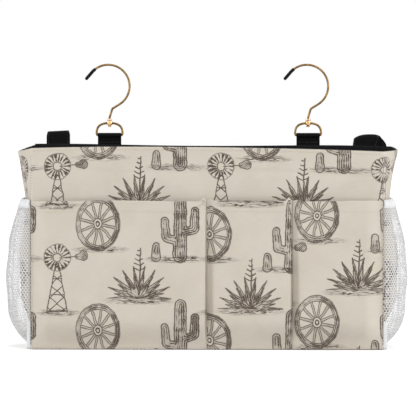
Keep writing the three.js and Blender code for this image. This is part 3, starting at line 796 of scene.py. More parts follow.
def make_nets(yarn, elastic, tape, thread):
    for name, side in SIDES:
        across, ys, up, _ = net_lengths(side)
        net = knit_net(f"net_{name}", side, yarn)
        hand_over(net, "root", "net", f"mesh_pocket_{name}")

        def gathered(a, b):
            y = np.interp(a, across, ys)
            x, y, z = net_place(side, y, ELASTIC_FOOT + 0.2 * MM + b, ELASTIC_OUT)
            ruffle = 0.42 * MM * np.sin(2 * math.pi * a / (3.7 * MM) + 2 * np.sin(a * 90))
            ruffle = ruffle * smooth((NET_HALF - np.abs(y)) / (4 * MM))
            swell = 0.5 * MM * np.sin(math.pi * np.clip(b / ELASTIC_WIDTH, 0, 1))
            top = 0.5 * MM * np.sin(2 * math.pi * a / (7.4 * MM)) * smooth(b / (8 * MM) - 0.2)
            return x + side * (ruffle + swell), y, z + top

        band = cloth(f"elastic_band_{name}", steps(across[0], across[-1], 0.6 * MM),
                     steps(0, ELASTIC_WIDTH, 0.7 * MM), gathered, elastic, ELASTIC,
                     flip=side < 0)
        hand_over(band, "root", "elastic", f"mesh_elastic_{name}")

        low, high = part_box(f"mesh_binding_{name}")
        inner, outer = sorted((abs(low.x), abs(high.x)))
        width = outer - inner
        leg = high.z - low.z - BINDING_CORNER
        leg_and_turn = leg + BINDING_CORNER * math.pi / 2
        total = 2 * leg_and_turn + 2 * (HALF_DEPTH - BINDING_CORNER)

        def bound(a, b):
            from_end = np.minimum(b, total - b)
            angle = np.clip((from_end - leg) / BINDING_CORNER, 0, math.pi / 2)
            beyond = np.clip(from_end - leg_and_turn, 0, None)
            y = -HALF_DEPTH + BINDING_CORNER * (1 - np.cos(angle)) + beyond
            z = high.z - np.minimum(from_end, leg) - BINDING_CORNER * np.sin(angle)
            y = np.where(b > total / 2, -y, y)
            bow = 0.25 * MM * np.sin(b * 160) * np.sin(math.pi * (a / width))
            sink = 0.35 * MM * quarter_round((2 * a / width - 1) ** 2) + np.abs(bow)
            y = y - np.sign(y) * sink * np.cos(angle) * (from_end < leg_and_turn)
            return side * (inner + a), y, z + sink * np.sin(angle)

        binding = cloth(f"binding_tape_{name}", steps(0, width, 0.5 * MM),
                        steps(0, total, 1.6 * MM), bound, tape, BINDING, flip=side > 0)
        hand_over(binding, "root", "elastic", f"mesh_binding_{name}")

        line = np.stack(bound(np.full(500, 0.75 * MM), np.linspace(0, total, 500)), -1)
        middle = np.array([side * HALF_WIDTH, 0, 0.1])
        seam = stitches(f"binding_stitches_{name}", [line],
                        unit((line - middle) * (0, 1, 1)), thread, 1.8 * MM, 0.9 * MM)
        lines = [np.stack(net_place(side, ys, np.full(ys.size, ELASTIC_FOOT + d), 1.5 * MM), -1)
                 for d in (1.4 * MM, 7.2 * MM)]
        hem = stitches(f"elastic_stitches_{name}", lines, (side, 0, 0), thread,
                       1.9 * MM, 0.9 * MM, 0.22 * MM)
        hand_over(seam, "root", "elastic")
        hand_over(hem, "root", "elastic")


# Tabs and straps

TAB_SEWN = 25 * MM
TAB_NECK = math.radians(50)
TAB_EYE = 2.1 * MM
TAB_LEG = 0.9 * MM
STRAP_FOLD = 1.65 * MM
STRAP_TURN = math.pi * STRAP_FOLD
STRAP_LEG = 62 * MM
STRAP_FLAP = 36 * MM
STRAP_DEPTH = HALF_DEPTH + SEAT_GAP + WEBBING + STRAP_FOLD
STRAP_PLACE = {"left": (-162 * MM, 13 * MM), "right": (167 * MM, 6.2 * MM)}
STRAP_SKEW = {"left": 0.0, "right": math.radians(12)}
TAPE_LENGTH = 24 * MM
TAPE_HALF = 10 * MM
TAPE_DROP = 7 * MM
TAPE_PILE = 1.0 * MM
WEBBING_STITCH = (2.0 * MM, 0.8 * MM)


def ribbed(a):
    """The webbing's lengthwise ribs, lower along its two selvedges."""
    thin = 0.25 * MM * smooth((np.abs(a) - WEBBING_WIDTH / 2 + 0.9 * MM) / (0.9 * MM))
    return 0.07 * MM * np.cos(2 * math.pi * a / WEBBING_RIB) - thin - 0.06 * MM


def make_tabs(webbing, thread):
    half = WEBBING_WIDTH / 2
    foot = BAG_HEIGHT - TAB_SEWN - BAR_HEIGHT
    neck = -2.4 * TAB_EYE
    angles = np.linspace(-TAB_NECK, math.pi + TAB_NECK, 60)
    path = np.concatenate([
        [[TAB_LEG, z] for z in np.linspace(foot, neck, 40)],
        np.stack([TAB_EYE * np.cos(angles), TAB_EYE * np.sin(angles)], -1),
        [[-TAB_LEG, z] for z in np.linspace(neck, foot, 40)]])
    run = run_along(path)
    tangent = unit(np.gradient(path, run, axis=0))
    for name, side in SIDES:
        def looped(a, b, out=0.0):
            y, z = np.interp(b, run, path[:, 0]), np.interp(b, run, path[:, 1])
            ty, tz = np.interp(b, run, tangent[:, 0]), np.interp(b, run, tangent[:, 1])
            reach = WEBBING / 2 + ribbed(a) + out
            return side * HOOK_PLACE + a, SLOT_MIDDLE + y + reach * tz, BAR_HEIGHT + z - reach * ty

        piece = cloth(f"tab_loop_{name}", steps(-half, half, 0.39 * MM),
                      steps(0, run[-1], 0.7 * MM), looped, webbing, WEBBING - 0.2 * MM, flip=True)
        hand_over(piece, "root", "webbing", f"tab_{name}")
        across = np.linspace(-half + 2 * MM, half - 2 * MM, 120)
        seams = []
        for tag, facing, at in (("front", -1, run[-1] - (neck - foot) + 2.2 * MM),
                                ("back", 1, neck - foot - 2.2 * MM)):
            line = np.stack(looped(across, np.full(120, at), out=0.05 * MM), -1)
            seams.append(stitches(f"tab_stitches_{tag}_{name}", [line], (0, facing, 0), thread,
                                  *WEBBING_STITCH))
            hand_over(seams[-1], "root", "webbing")


def strap_place(name, along, across, reach):
    """A point of a strap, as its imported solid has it: along is the length past the crease
    on the inner face, and reach how far out of that face the point is."""
    skew = STRAP_SKEW[name]
    middle, rise = STRAP_PLACE[name]
    radius = STRAP_FOLD + reach
    angle = np.clip(along / STRAP_FOLD, 0, math.pi)
    straight = np.where(along < 0, along, np.where(along > STRAP_TURN, STRAP_TURN - along, 0))
    across = across * (1 - 0.10 * ridge(along - STRAP_TURN / 2, 2.6 * MM))
    x = along * math.tan(skew) + across / math.cos(skew)
    y = -radius * np.cos(angle)
    z = straight + radius * np.sin(angle)
    if name == "left":
        z = z + 0.05 * across * smooth((along + 26 * MM) / (24 * MM)) * smooth(
            (STRAP_TURN + 24 * MM - along) / (24 * MM))
    turned_x = math.cos(skew) * x - math.sin(skew) * z
    turned_z = math.sin(skew) * x + math.cos(skew) * z
    if name == "right":
        crown = ridge(along - STRAP_TURN / 2, 9 * MM)
        share = across / WEBBING_WIDTH + 0.5
        hump = 4.2 * np.sin(math.pi * np.clip(share, 0, 1)) ** 0.7 * (1 - 0.55 * share)
        turned_z = turned_z + crown * MM * (hump - 1.2 * smooth(share * 4 - 3))
        turned_x = turned_x + 5.5 * MM * (smooth((along - 0.4 * STRAP_TURN) / (12 * MM))
                                          + 0.9 * crown * smooth(share * 1.6 - 0.6))
    return middle + turned_x, STRAP_DEPTH + y, BAG_HEIGHT + rise + turned_z


def make_straps(webbing, tape, thread):
    half = WEBBING_WIDTH / 2
    start, end = -STRAP_LEG, STRAP_TURN + STRAP_FLAP
    bend = 9 * MM
    rows = merged(steps(start, -bend, 1 * MM), steps(-bend, STRAP_TURN + bend, 0.4 * MM),
                  steps(STRAP_TURN + bend, end, 1 * MM))
    inset = 2.2 * MM
    lengthwise = np.linspace(start + inset, end - inset, 300)
    crosswise = np.linspace(-half + inset, half - inset, 60)
    runs = [(-half + inset, lengthwise), (half - inset, lengthwise),
            (crosswise, start + inset), (crosswise, end - inset)]
    for name, _ in SIDES:
        def square(a, b):
            """The length along a skewed strap, for places square to its edges."""
            return b * math.cos(STRAP_SKEW[name]) - a * math.sin(STRAP_SKEW[name])

        def band(a, b, out=0.0):
            return strap_place(name, square(a, b), a, WEBBING + ribbed(a) + out)

        strap = cloth(f"strap_band_{name}", steps(-half, half, 0.39 * MM), rows, band, webbing,
                      WEBBING - 0.2 * MM)
        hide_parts(f"strap_{name}", f"strap_flap_{name}")
        seam = None
        for k, (a, b) in enumerate(runs):
            line = np.stack(band(*np.broadcast_arrays(a, b), out=0.04 * MM), -1)
            away = line - (0, STRAP_DEPTH, BAG_HEIGHT + STRAP_PLACE[name][1])
            facing = unit(away * (0, 1, 0) + (0, 0, 0.6) * (away[:, 2:] > 0))
            part = stitches(f"strap_stitches_{name}_{k}", [line], facing, thread,
                            *WEBBING_STITCH)
            seam = part if seam is None else joined(seam, part)
        seam.name = f"strap_stitches_{name}"
        for part in (strap, seam):
            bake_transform(part)

        for kind, body, on_flap in (("loop", "root", False), ("hook", f"flap_{name}", True)):
            def patch(a, b):
                along = STRAP_TURN + TAPE_DROP + b if on_flap else -TAPE_DROP - b
                edge = np.maximum(np.abs(a) / TAPE_HALF, np.abs(2 * b / TAPE_LENGTH - 1))
                sunk = 0.45 * MM * smooth((edge - 0.93) / 0.07)
                return strap_place(name, square(a, along), a, sunk - SEAT_GAP - TAPE_PILE)

            piece = cloth(
                f"{kind}_tape_{name}_pile", steps(-TAPE_HALF, TAPE_HALF, 0.5 * MM),
                steps(0, TAPE_LENGTH, 0.5 * MM), patch, tape, TAPE_PILE - 0.05 * MM, flip=on_flap)
            hand_over(piece, body, "hook_and_loop", f"{kind}_tape_{name}")


# Hooks and rings

RING_HEIGHT = 13.2 * MM
RING_HALF = 13.85 * MM
RING_CORNER = 2.2 * MM
RING_WIRE = 1.2 * MM
HOOK_WIRE = 1.15 * MM
HOOK_RADIUS = 22.9 * MM
HOOK_END = 10.8 * MM
SHANK_HEIGHT = 5 * MM
NECK_RADIUS = 6 * MM
NECK_LENGTH = 8.1 * MM
SHOULDER_RADIUS = 2.5 * MM
SHOULDER_LENGTH = 8.3 * MM

# Turned parts: diameter, height and bore

BOSS = (5.8 * MM, 4.4 * MM, 2.6 * MM)
COLLAR = (5.2 * MM, 2.1 * MM, 2.6 * MM)
RIVET_HEAD = (3.8 * MM, 1.6 * MM, 0)
RIVET_DROP = 3.3 * MM
COLLAR_RISE = 3.55 * MM

# The vinyl tip

TIP_LENGTH = 15.8 * MM
TIP_RADIUS = 1.8 * MM


def bent_wire(name, points, radius, material, radii=None):
    """A round wire along points, with its ends closed."""
    curve = bpy.data.curves.new(name, "CURVE")
    curve.dimensions = "3D"
    curve.bevel_depth = radius
    curve.bevel_resolution = 5
    curve.use_fill_caps = True
    line = curve.splines.new("POLY")
    line.points.add(len(points) - 1)
    for i, point in enumerate(points):
        line.points[i].co = (*point, 1)
        line.points[i].radius = 1 if radii is None else radii[i]
    wire = bpy.data.objects.new(name, curve)
    bpy.context.scene.collection.objects.link(wire)
    pick(wire)
    bpy.ops.object.convert(target="MESH")
    wire = bpy.context.object
    wire.data.materials.clear()
    wire.data.materials.append(material)
    return settle(wire)


def turned_part(name, place, diameter, height, bore, bevel, material):
    """A short turned part about Z, with its rims rounded and a bore where it has one."""
    bpy.ops.object.select_all(action="DESELECT")
    bpy.ops.mesh.primitive_cylinder_add(vertices=40, radius=diameter / 2, depth=height,
                                        location=place)
    part = bpy.context.object
    part.name = name
    bpy.ops.object.transform_apply(location=True, rotation=True, scale=True)
    if bore:
        bpy.ops.object.mode_set(mode="EDIT")
        bpy.ops.mesh.select_mode(type="FACE")
        bpy.ops.object.mode_set(mode="OBJECT")
        for face in part.data.polygons:
            face.select = abs(face.normal.z) > 0.9
        bpy.ops.object.mode_set(mode="EDIT")
        bpy.ops.mesh.inset(thickness=(diameter - bore) / 2)
        bpy.ops.mesh.bridge_edge_loops()
        bpy.ops.object.mode_set(mode="OBJECT")
    part.data.materials.append(material)
    return round_edges(part, bevel, 4, 40)


def arc(centre, radius, start, end, count):
    return [(centre[0] + radius * math.cos(a), centre[1] + radius * math.sin(a))
            for a in np.linspace(start, end, count)]


def onward(place, lean, distance):
    """A place further along a wire that leans that much away from upright, towards +X."""
    return place[0] + distance * math.sin(lean), place[1] + distance * math.cos(lean)


def aside(place, lean, distance):
    """A place square to such a wire, on its +X side."""
    return place[0] + distance * math.cos(lean), place[1] - distance * math.sin(lean)


def hook_path(short_by):
    """The hook's centre line about the middle of the boss: up out of the rivet head, a lean,
    the shoulder, the round part and the straight end, less a length."""
    lean, shoulder, end = math.radians(17), math.radians(58), math.radians(139)
    first = (NECK_RADIUS, SHANK_HEIGHT)
    neck = onward(aside(first, lean, -NECK_RADIUS), lean, NECK_LENGTH)
    second = aside(neck, lean, SHOULDER_RADIUS)
    top = onward(aside(second, shoulder, -SHOULDER_RADIUS), shoulder, SHOULDER_LENGTH)
    centre = aside(top, shoulder, -HOOK_RADIUS)
    path = [(0, z) for z in np.linspace(-RIVET_DROP, SHANK_HEIGHT, 6)]
    path += arc(first, NECK_RADIUS, math.pi, math.pi - lean, 8)[1:]
    path += arc(second, SHOULDER_RADIUS, math.pi - lean, math.pi - shoulder, 12)
    path += arc(centre, HOOK_RADIUS, -shoulder, end, 120)
    straight = onward(path[-1], -end, HOOK_END - short_by)
    return path + [onward(path[-1], -end, 5 * MM), straight]


def ring_path():
    """The D-ring's centre line about the middle of its bar, open where the boss takes it."""
    outline = [(0, 0), *arc((RING_HALF - RING_CORNER, RING_CORNER), RING_CORNER,
                            -math.pi / 2, 0, 9)]
    flatter = 0.76
    for a in np.linspace(0, math.pi / 2, 60)[1:]:
        rise = (RING_HEIGHT - RING_CORNER) * math.sin(a) ** flatter
        outline.append((RING_HALF * math.cos(a) ** flatter, RING_CORNER + rise))
    right = [p for p in outline if not (p[0] < 1.9 * MM and p[1] > RING_CORNER)]
    return [(-x, z) for x, z in right[::-1]][:-1] + right


def tip_cover():
    """The vinyl tip's centre line, and its radii as shares: a lip, a sleeve and a dome."""
    shares = np.array([0, 0.02, 0.05, 0.1, *np.linspace(0.15, 0.85, 15),
                       0.88, 0.92, 0.95, 0.97, 0.985, 0.995, 1])
    path = np.array(hook_path(0))
    run = run_along(path)
    place = run[-1] - TIP_LENGTH * (1 - shares)
    dome = quarter_round((shares - 1) * TIP_LENGTH / (1.7 * MM) + 1)
    lip = quarter_round(1 - shares * TIP_LENGTH / (0.5 * MM))
    line = np.stack([np.interp(place, run, path[:, k]) for k in (0, 1)], -1)
    return line, np.maximum(1 - dome, 0.08) * (1 - 0.28 * lip)


def make_hangers(brass, polished, rosy, vinyl):
    for name, side in SIDES:
        bar = np.array([side * HOOK_PLACE, SLOT_MIDDLE, BAR_HEIGHT])
        boss = bar + (0, 0, RING_HEIGHT)

        def at(flat, origin):
            return [tuple(origin + (x, 0, z)) for x, z in flat]

        ring = joined(
            bent_wire(f"ring_wire_{name}", at(ring_path(), bar), RING_WIRE, brass),
            turned_part(f"ring_boss_{name}", boss, *BOSS, 0.5 * MM, polished))
        hand_over(ring, f"ring_{name}", "gold_wire", f"d_ring_{name}")

        hook = joined(
            bent_wire(f"hook_wire_{name}", at(hook_path(0.7 * MM), boss), HOOK_WIRE, brass),
            turned_part(f"hook_head_{name}", boss - (0, 0, RIVET_DROP), *RIVET_HEAD, 0.6 * MM,
                        polished))
        hand_over(hook, f"hanger_{name}", "gold_wire", f"hook_{name}")

        collar = turned_part(f"collar_{name}", boss + (0, 0, COLLAR_RISE), *COLLAR, 0.4 * MM,
                             rosy)
        hand_over(collar, f"hanger_{name}", "gold_wire", f"swivel_collar_{name}")

        line, radii = tip_cover()
        tip = bent_wire(f"tip_cover_{name}", at(line, boss), TIP_RADIUS, vinyl, radii)
        hand_over(tip, f"hanger_{name}", "vinyl", f"hook_tip_{name}")


# Finishes

RELIEF = 0.6  # a bump's usual strength


def in_mm(tree, source):
    """Coordinates in millimetres."""
    return put(tree, "VectorMath", source, (1000, 1000, 1000), operation="MULTIPLY")


def on_cloth(tree):
    return in_mm(tree, put(tree, "UVMap", uv_map="cut"))


def on_piece(tree):
    return in_mm(tree, put(tree, "TexCoord", out=3))


def grain(tree, place, scale, low=0.0, high=1.0, detail=2.0, roughness=0.5):
    """Soft uneven patches between two values, scale of them to a millimetre."""
    noise = put(tree, "TexNoise", place, named={
        "Scale": scale, "Detail": detail, "Roughness": roughness})
    return put(tree, "MapRange", noise, 0.35, 0.65, low, high)


def waves(tree, value, pitch):
    """A row of ribs along a growing value, from -1 between them to 1 on them."""
    return put(tree, "Math", chain(tree, "MULTIPLY", value, 2 * math.pi / pitch),
               operation="SINE")


def woven(tree, place, pitch, rows=1.0):
    """The over and under of a weave, from -1 on the weft's crowns to 1 on the warp's."""
    turn = 2 * math.pi / pitch
    turned = put(tree, "VectorMath", place, (turn, turn / rows, 0), operation="MULTIPLY")
    split = put(tree, "SeparateXYZ", put(tree, "VectorMath", turned, operation="SINE"))
    return chain(tree, "MULTIPLY", split, split.node.outputs[1])


def printed_canvas(tree):
    """Woven polyester canvas, printed: a matt beige ground, a plain weave with slubs in it
    and sepia line engravings of a desert farm. The threads are drawn 0.8 mm apart, coarser
    than the real ones, so that they show."""
    place = on_cloth(tree)
    weave = woven(tree, place, 0.8)
    drawn_out = put(tree, "VectorMath", place, (0.12, 1.6, 0), operation="MULTIPLY")
    slubs = grain(tree, drawn_out, 1.0)
    patches = grain(tree, place, 0.03)
    # Painted shade: the weave's low parts are painted darker, towards 0xA39B8D, in the colour.
    painted_weave_shade = put(tree, "MapRange", weave, -1.0, 1.0, 0.14, 0.0)
    ground = put(tree, "MixRGB", patches, linear(0xCBC2B4), linear(0xD1C9BC))
    ground = put(tree, "MixRGB", chain(tree, "MULTIPLY", slubs, 0.35), ground, linear(0xDAD2C6))
    ground = put(tree, "MixRGB", painted_weave_shade, ground, linear(0xA39B8D))
    height = put(tree, "Math", slubs, 0.6, weave, operation="MULTIPLY_ADD")
    return put(tree, "BsdfPrincipled", named={
        "Base Color": put(tree, "MixRGB", print_ink(tree, place), ground, linear(0x4A3B33)),
        "Roughness": 0.82,
        "Sheen Weight": 0.12,
        "Specular IOR Level": 0.3,
        "Normal": put(tree, "Bump", RELIEF, 0.05 * MM, named={"Height": height})})


def black_lining(tree):
    """Thin black polyester lining: matt, with a close weave whose crowns carry a painted
    highlight. Its threads are drawn 0.5 mm apart, coarser than the real ones, so that they show."""
    place = on_cloth(tree)
    weave = woven(tree, place, 0.5)
    patches = grain(tree, place, 0.08)
    # Painted highlight: the weave's crowns are painted lighter in the colour.
    crowns = put(tree, "MapRange", weave, -1.0, 1.0, 0.0, 0.25)
    ground = put(tree, "MixRGB", patches, linear(0x060607), linear(0x0D0D0F))
    return put(tree, "BsdfPrincipled", named={
        "Base Color": put(tree, "MixRGB", crowns, ground, linear(0x19191B)),
        "Roughness": grain(tree, place, 0.3, 0.62, 0.78),
        "Specular IOR Level": 0.15,
        "Normal": put(tree, "Bump", RELIEF, 0.03 * MM, named={"Height": weave})})


def black_webbing(tree):
    """Black polypropylene webbing: ribs of slanting yarns that turn back at each rib."""
    place = on_cloth(tree)
    split = put(tree, "SeparateXYZ", place)
    zigzag = put(tree, "Math", split, WEBBING_RIB / MM / 2, operation="PINGPONG")
    lean = put(tree, "Math", zigzag, 1.3, split.node.outputs[1], operation="MULTIPLY_ADD")
    yarn = waves(tree, lean, 1.15)
    # Painted highlight and shade: the yarns' crowns are painted lighter and the dips between them
    # darker.
    crowns = put(tree, "MapRange", yarn, -1.0, 1.0, 0.0, 1.0)
    ground = put(tree, "MixRGB", crowns, linear(0x040404), linear(0x0F0F10))
    dust = grain(tree, place, 0.6, 0.0, 0.3)
    return put(tree, "BsdfPrincipled", named={
        "Base Color": put(tree, "MixRGB", dust, ground, linear(0x1A1A1C)),
        "Roughness": grain(tree, place, 1.2, 0.55, 0.72),
        "Specular IOR Level": 0.07,
        "Normal": put(tree, "Bump", RELIEF, 0.09 * MM, named={"Height": yarn})})


def white_net(tree):
    """White knitted polyester net: soft multifilament yarn that lets some light through."""
    place = on_piece(tree)
    patches = grain(tree, place, 0.7)
    fuzz = grain(tree, place, 6.0, detail=3.0)
    yarn = put(tree, "BsdfPrincipled", named={
        "Base Color": put(tree, "MixRGB", patches, linear(0xECECEE), linear(0xF5F5F6)),
        "Roughness": 0.62,
        "Sheen Weight": 0.2,
        "Normal": put(tree, "Bump", RELIEF, 0.06 * MM, named={"Height": fuzz})})
    return put(tree, "MixShader", 0.28, yarn, put(tree, "BsdfTranslucent", linear(0xF6F6F7)))


def white_elastic(tree):
    """White woven elastic: close lengthwise ribs with the knit's small steps across them."""
    place = on_cloth(tree)
    split = put(tree, "SeparateXYZ", place)
    ribs = waves(tree, split.node.outputs[1], 0.95)
    height = put(tree, "Math", woven(tree, place, 0.9, 0.55), 0.5, ribs,
                 operation="MULTIPLY_ADD")
    # Painted shade: the grooves between the ribs are painted darker in the colour.
    painted_groove_shade = put(tree, "MapRange", height, -1.5, 1.0, 1.0, 0.0)
    return put(tree, "BsdfPrincipled", named={
        "Base Color": put(tree, "MixRGB", painted_groove_shade, linear(0xF7F7F8), linear(0xD2D3D6)),
        "Roughness": grain(tree, place, 0.8, 0.68, 0.85),
        "Normal": put(tree, "Bump", RELIEF, 0.12 * MM, named={"Height": height})})


def white_binding(tree):
    """White nylon binding tape: fine ribs across it, as grosgrain has."""
    place = on_cloth(tree)
    split = put(tree, "SeparateXYZ", place)
    ribs = waves(tree, split.node.outputs[1], 0.6)
    # Painted shade: the grooves between the ribs are painted darker in the colour.
    painted_groove_shade = put(tree, "MapRange", ribs, -1.0, 1.0, 0.6, 0.0)
    ground = put(tree, "MixRGB", painted_groove_shade, linear(0xF6F6F7), linear(0xD8D8DA))
    wear = grain(tree, place, 0.4, 0.0, 0.3)
    return put(tree, "BsdfPrincipled", named={
        "Base Color": put(tree, "MixRGB", wear, ground, linear(0xE4E2DE)),
        "Roughness": 0.7,
        "Normal": put(tree, "Bump", RELIEF, 0.06 * MM, named={"Height": ribs})})


def plated(light, dark, roughness):
    """Metal plating: bright, with drawn streaks and faint handling marks."""
    def dress(tree):
        place = on_piece(tree)
        drawn_out = put(tree, "VectorMath", place, (3, 3, 0.5), operation="MULTIPLY")
        streaks = grain(tree, drawn_out, 1.0, detail=3.0)
        marks = grain(tree, place, 0.25)
        return put(tree, "BsdfPrincipled", named={
            "Base Color": put(tree, "MixRGB", marks, linear(light), linear(dark)),
            "Metallic": 1.0,
            "Roughness": put(tree, "Math", streaks, 0.12, roughness, operation="MULTIPLY_ADD"),
            "Specular Tint": linear(0x8C7454),
            "Normal": put(tree, "Bump", 0.4, 0.004 * MM, named={"Height": streaks})})
    return dress


def dipped_vinyl(tree):
    """Black dipped vinyl: smooth and a little glossy, with slow waves from the dipping."""
    place = on_piece(tree)
    runs = grain(tree, place, 0.5)
    patches = grain(tree, place, 1.5, detail=3.0)
    return put(tree, "BsdfPrincipled", named={
        "Base Color": put(tree, "MixRGB", patches, linear(0x050506), linear(0x0C0C0D)),
        "Roughness": grain(tree, place, 0.9, 0.4, 0.52),
        "Specular IOR Level": 0.12,
        "Normal": put(tree, "Bump", RELIEF, 0.1 * MM, named={"Height": runs})})


def stiff_board(tree):
    """Grey polypropylene board: extruded, with faint flutes and a dull skin."""
    place = on_piece(tree)
    flutes = waves(tree, put(tree, "SeparateXYZ", place), 4.2)
    patches = grain(tree, place, 0.5, detail=4.0)
    return put(tree, "BsdfPrincipled", named={
        "Base Color": put(tree, "MixRGB", patches, linear(0x8C877F), linear(0xA49F96)),
        "Roughness": 0.55,
        "Normal": put(tree, "Bump", 0.4, 0.15 * MM, named={"Height": flutes})})


def cut_foam(tree):
    """Off-white polyurethane foam: open cells, with painted shade in them, over a soft matt body.
    """
    cells = put(tree, "TexVoronoi", on_piece(tree), named={"Scale": 1.4})
    # Painted shade: the cells' hollows, low in the bump, are painted darker in the colour.
    return put(tree, "BsdfPrincipled", named={
        "Base Color": put(tree, "MixRGB", cells, linear(0xC9C4B6), linear(0xECE9E1)),
        "Roughness": 0.95,
        "Subsurface Weight": 0.15,
        "Subsurface Radius": (2 * MM, 2 * MM, 1.5 * MM),
        "Normal": put(tree, "Bump", RELIEF, 0.4 * MM, named={"Height": cells})})


def tape_pile(tree):
    """Black nylon hook-and-loop tape: a dense nap of loops, with painted shade where it is low."""
    nap = grain(tree, on_cloth(tree), 3.2, detail=4.0, roughness=0.7)
    # The nap's tone is random and follows its height, so its low parts carry painted shade.
    return put(tree, "BsdfPrincipled", named={
        "Base Color": put(tree, "MixRGB", nap, linear(0x030304), linear(0x121214)),
        "Roughness": 0.95,
        "Sheen Weight": 0.08,
        "Specular IOR Level": 0.08,
        "Normal": put(tree, "Bump", 0.9, 0.35 * MM, named={"Height": nap})})


def spun_thread(light, dark):
    """Polyester sewing thread: a low sheen, with painted shade between the twists."""
    def dress(tree):
        twist = put(tree, "TexWave", on_piece(tree), named={"Scale": 1.1, "Distortion": 1.5})
        # Painted shade: the twist pattern also paints the colour darker between the twists.
        return put(tree, "BsdfPrincipled", named={
            "Base Color": put(tree, "MixRGB", twist, linear(dark), linear(light)),
            "Roughness": 0.55,
            "Sheen Weight": 0.2,
            "Normal": put(tree, "Bump", RELIEF, 0.04 * MM, named={"Height": twist})})
    return dress


# The print

HALF_REPEAT = (86, 56, 1)  # in millimetres


def stroke(tree, place, start, end, width, end_width=None):
    """Distance to a round-ended stroke, in millimetres and below zero inside it. It tapers
    where it has a width for its end."""
    dx, dy = end[0] - start[0], end[1] - start[1]
    square = dx * dx + dy * dy
    away = put(tree, "VectorMath", place, (*start, 0), operation="SUBTRACT")
    share = put(tree, "VectorMath", away, (dx / square, dy / square, 0), out=1,
                operation="DOT_PRODUCT")
    share = put(tree, "Clamp", share)
    rest = put(tree, "VectorMath", (-dx, -dy, 0), share, away, operation="MULTIPLY_ADD")
    far = put(tree, "VectorMath", rest, out=1, operation="LENGTH")
    taper = (end_width or width) - width
    radius = put(tree, "Math", share, taper / 2, width / 2, operation="MULTIPLY_ADD")
    return put(tree, "Math", far, radius, operation="SUBTRACT")


def inked(tree, distance, width, at=0.0, soft=0.3):
    """How much ink a line of some width leaves where a distance has a value, from 0 to 1."""
    off = put(tree, "Math", distance, at, operation="SUBTRACT")
    near = put(tree, "Math", off, operation="ABSOLUTE")
    return put(tree, "MapRange", near, width / 2 + soft, width / 2 - soft, 0.0, 1.0)


def inside(tree, distance, soft=0.3):
    """One inside a shape, where the distance to it is below zero, and nought outside."""
    return put(tree, "MapRange", distance, soft, -soft, 0.0, 1.0)


def between(tree, value, start, end):
    """One between a start and an end and nought beyond them. Each is a pair of values, where
    the change begins and where it is done."""
    return chain(tree, "MULTIPLY", put(tree, "MapRange", value, *start, 0.0, 1.0),
                 put(tree, "MapRange", value, *end, 1.0, 0.0))


def stripes(tree, value, pitch, share):
    """Ink in stripes across a growing value, a share of each pitch wide."""
    turn = put(tree, "Math", value, pitch, operation="PINGPONG")
    width = put(tree, "Math", share, pitch, operation="MULTIPLY")
    less = put(tree, "Math", width, turn, operation="SUBTRACT")
    return put(tree, "MapRange", less, -0.12, 0.22, 0.0, 1.0)


def polar(tree, place):
    """How far a place is from nought, and the angle that it is seen at from there."""
    split = put(tree, "SeparateXYZ", place)
    angle = put(tree, "Math", split.node.outputs[1], split, operation="ARCTAN2")
    return put(tree, "VectorMath", place, out=1, operation="LENGTH"), angle


def tile(tree, place, middle, size):
    """The print's coordinates about one motif of each repeat, in millimetres."""
    moved = put(tree, "VectorMath", place, (*middle, 0), operation="SUBTRACT")
    low = tuple(-half for half in HALF_REPEAT)
    local = put(tree, "VectorMath", moved, HALF_REPEAT, low, operation="WRAP")
    return put(tree, "VectorMath", local, (1 / size, 1 / size, 1), operation="MULTIPLY")


def washed(tree, distance, shade):
    """The half tone that fills a shape."""
    tone = put(tree, "Math", shade, 0.36, 0.1, operation="MULTIPLY_ADD")
    return chain(tree, "MULTIPLY", inside(tree, distance), tone)


def darker_right(tree, place, shade, reach):
    """The share of ink in a motif's shading, more on its right, as if lit from the left."""
    side = put(tree, "MapRange", put(tree, "SeparateXYZ", place), -reach, reach, -0.2, 0.4)
    return put(tree, "Math", shade, side, operation="ADD", use_clamp=True)


def saguaro(tree, place, shade):
    """A branched cactus: rounded arms with ribs that run along them."""
    parts = [stroke(tree, place, *line) for line in (
        ((0, -24), (0.5, 22), 10.5, 8.5), ((1, -6), (11, -3), 6.5), ((11.5, -2), (12, 12), 6.8, 6),
        ((0, -12), (-10, -10), 6), ((-11, -9), (-12, 4), 6.4, 5.6),
        ((-19, -25), (-19, -16), 7, 5))]
    body = parts[0]
    for part in parts[1:]:
        body = put(tree, "Math", body, part, 1.2, operation="SMOOTH_MIN")
    ribs = stripes(tree, body, 0.85, darker_right(tree, place, shade, 16.0))
    return chain(tree, "MAXIMUM", inked(tree, body, 1.0),
                 chain(tree, "MULTIPLY", ribs, inside(tree, body)), washed(tree, body, shade))


def wagon_wheel(tree, place, shade):
    """A spoked wooden wheel: a double rim, twelve spokes and a hub."""
    place = put(tree, "Mapping", place, named={
        "Rotation": (0, 0, 0.2), "Scale": (1.22, 1, 1), "Location": (0, 1, 0)})
    radius, angle = polar(tree, place)
    off = put(tree, "Math", angle, math.pi / 12, operation="PINGPONG")
    spoke = put(tree, "Math", chain(tree, "MULTIPLY", off, radius), 0.95, operation="SUBTRACT")
    spoke_length = between(tree, radius, (4.4, 4.8), (18.0, 18.4))
    rim = put(tree, "Math", radius, 20.5, operation="SUBTRACT")
    rim = put(tree, "Math", put(tree, "Math", rim, operation="ABSOLUTE"), 2.3,
              operation="SUBTRACT")
    wood = stripes(tree, radius, 0.9, darker_right(tree, place, shade, 20.0))
    return chain(
        tree, "MAXIMUM", inked(tree, rim, 0.85), washed(tree, rim, shade),
        chain(tree, "MULTIPLY", inside(tree, rim), wood),
        chain(tree, "MULTIPLY", washed(tree, spoke, shade), spoke_length),
        chain(tree, "MULTIPLY", inked(tree, spoke, 0.8), spoke_length),
        inked(tree, radius, 1.0, 4.4), inked(tree, radius, 1.3, 1.8))


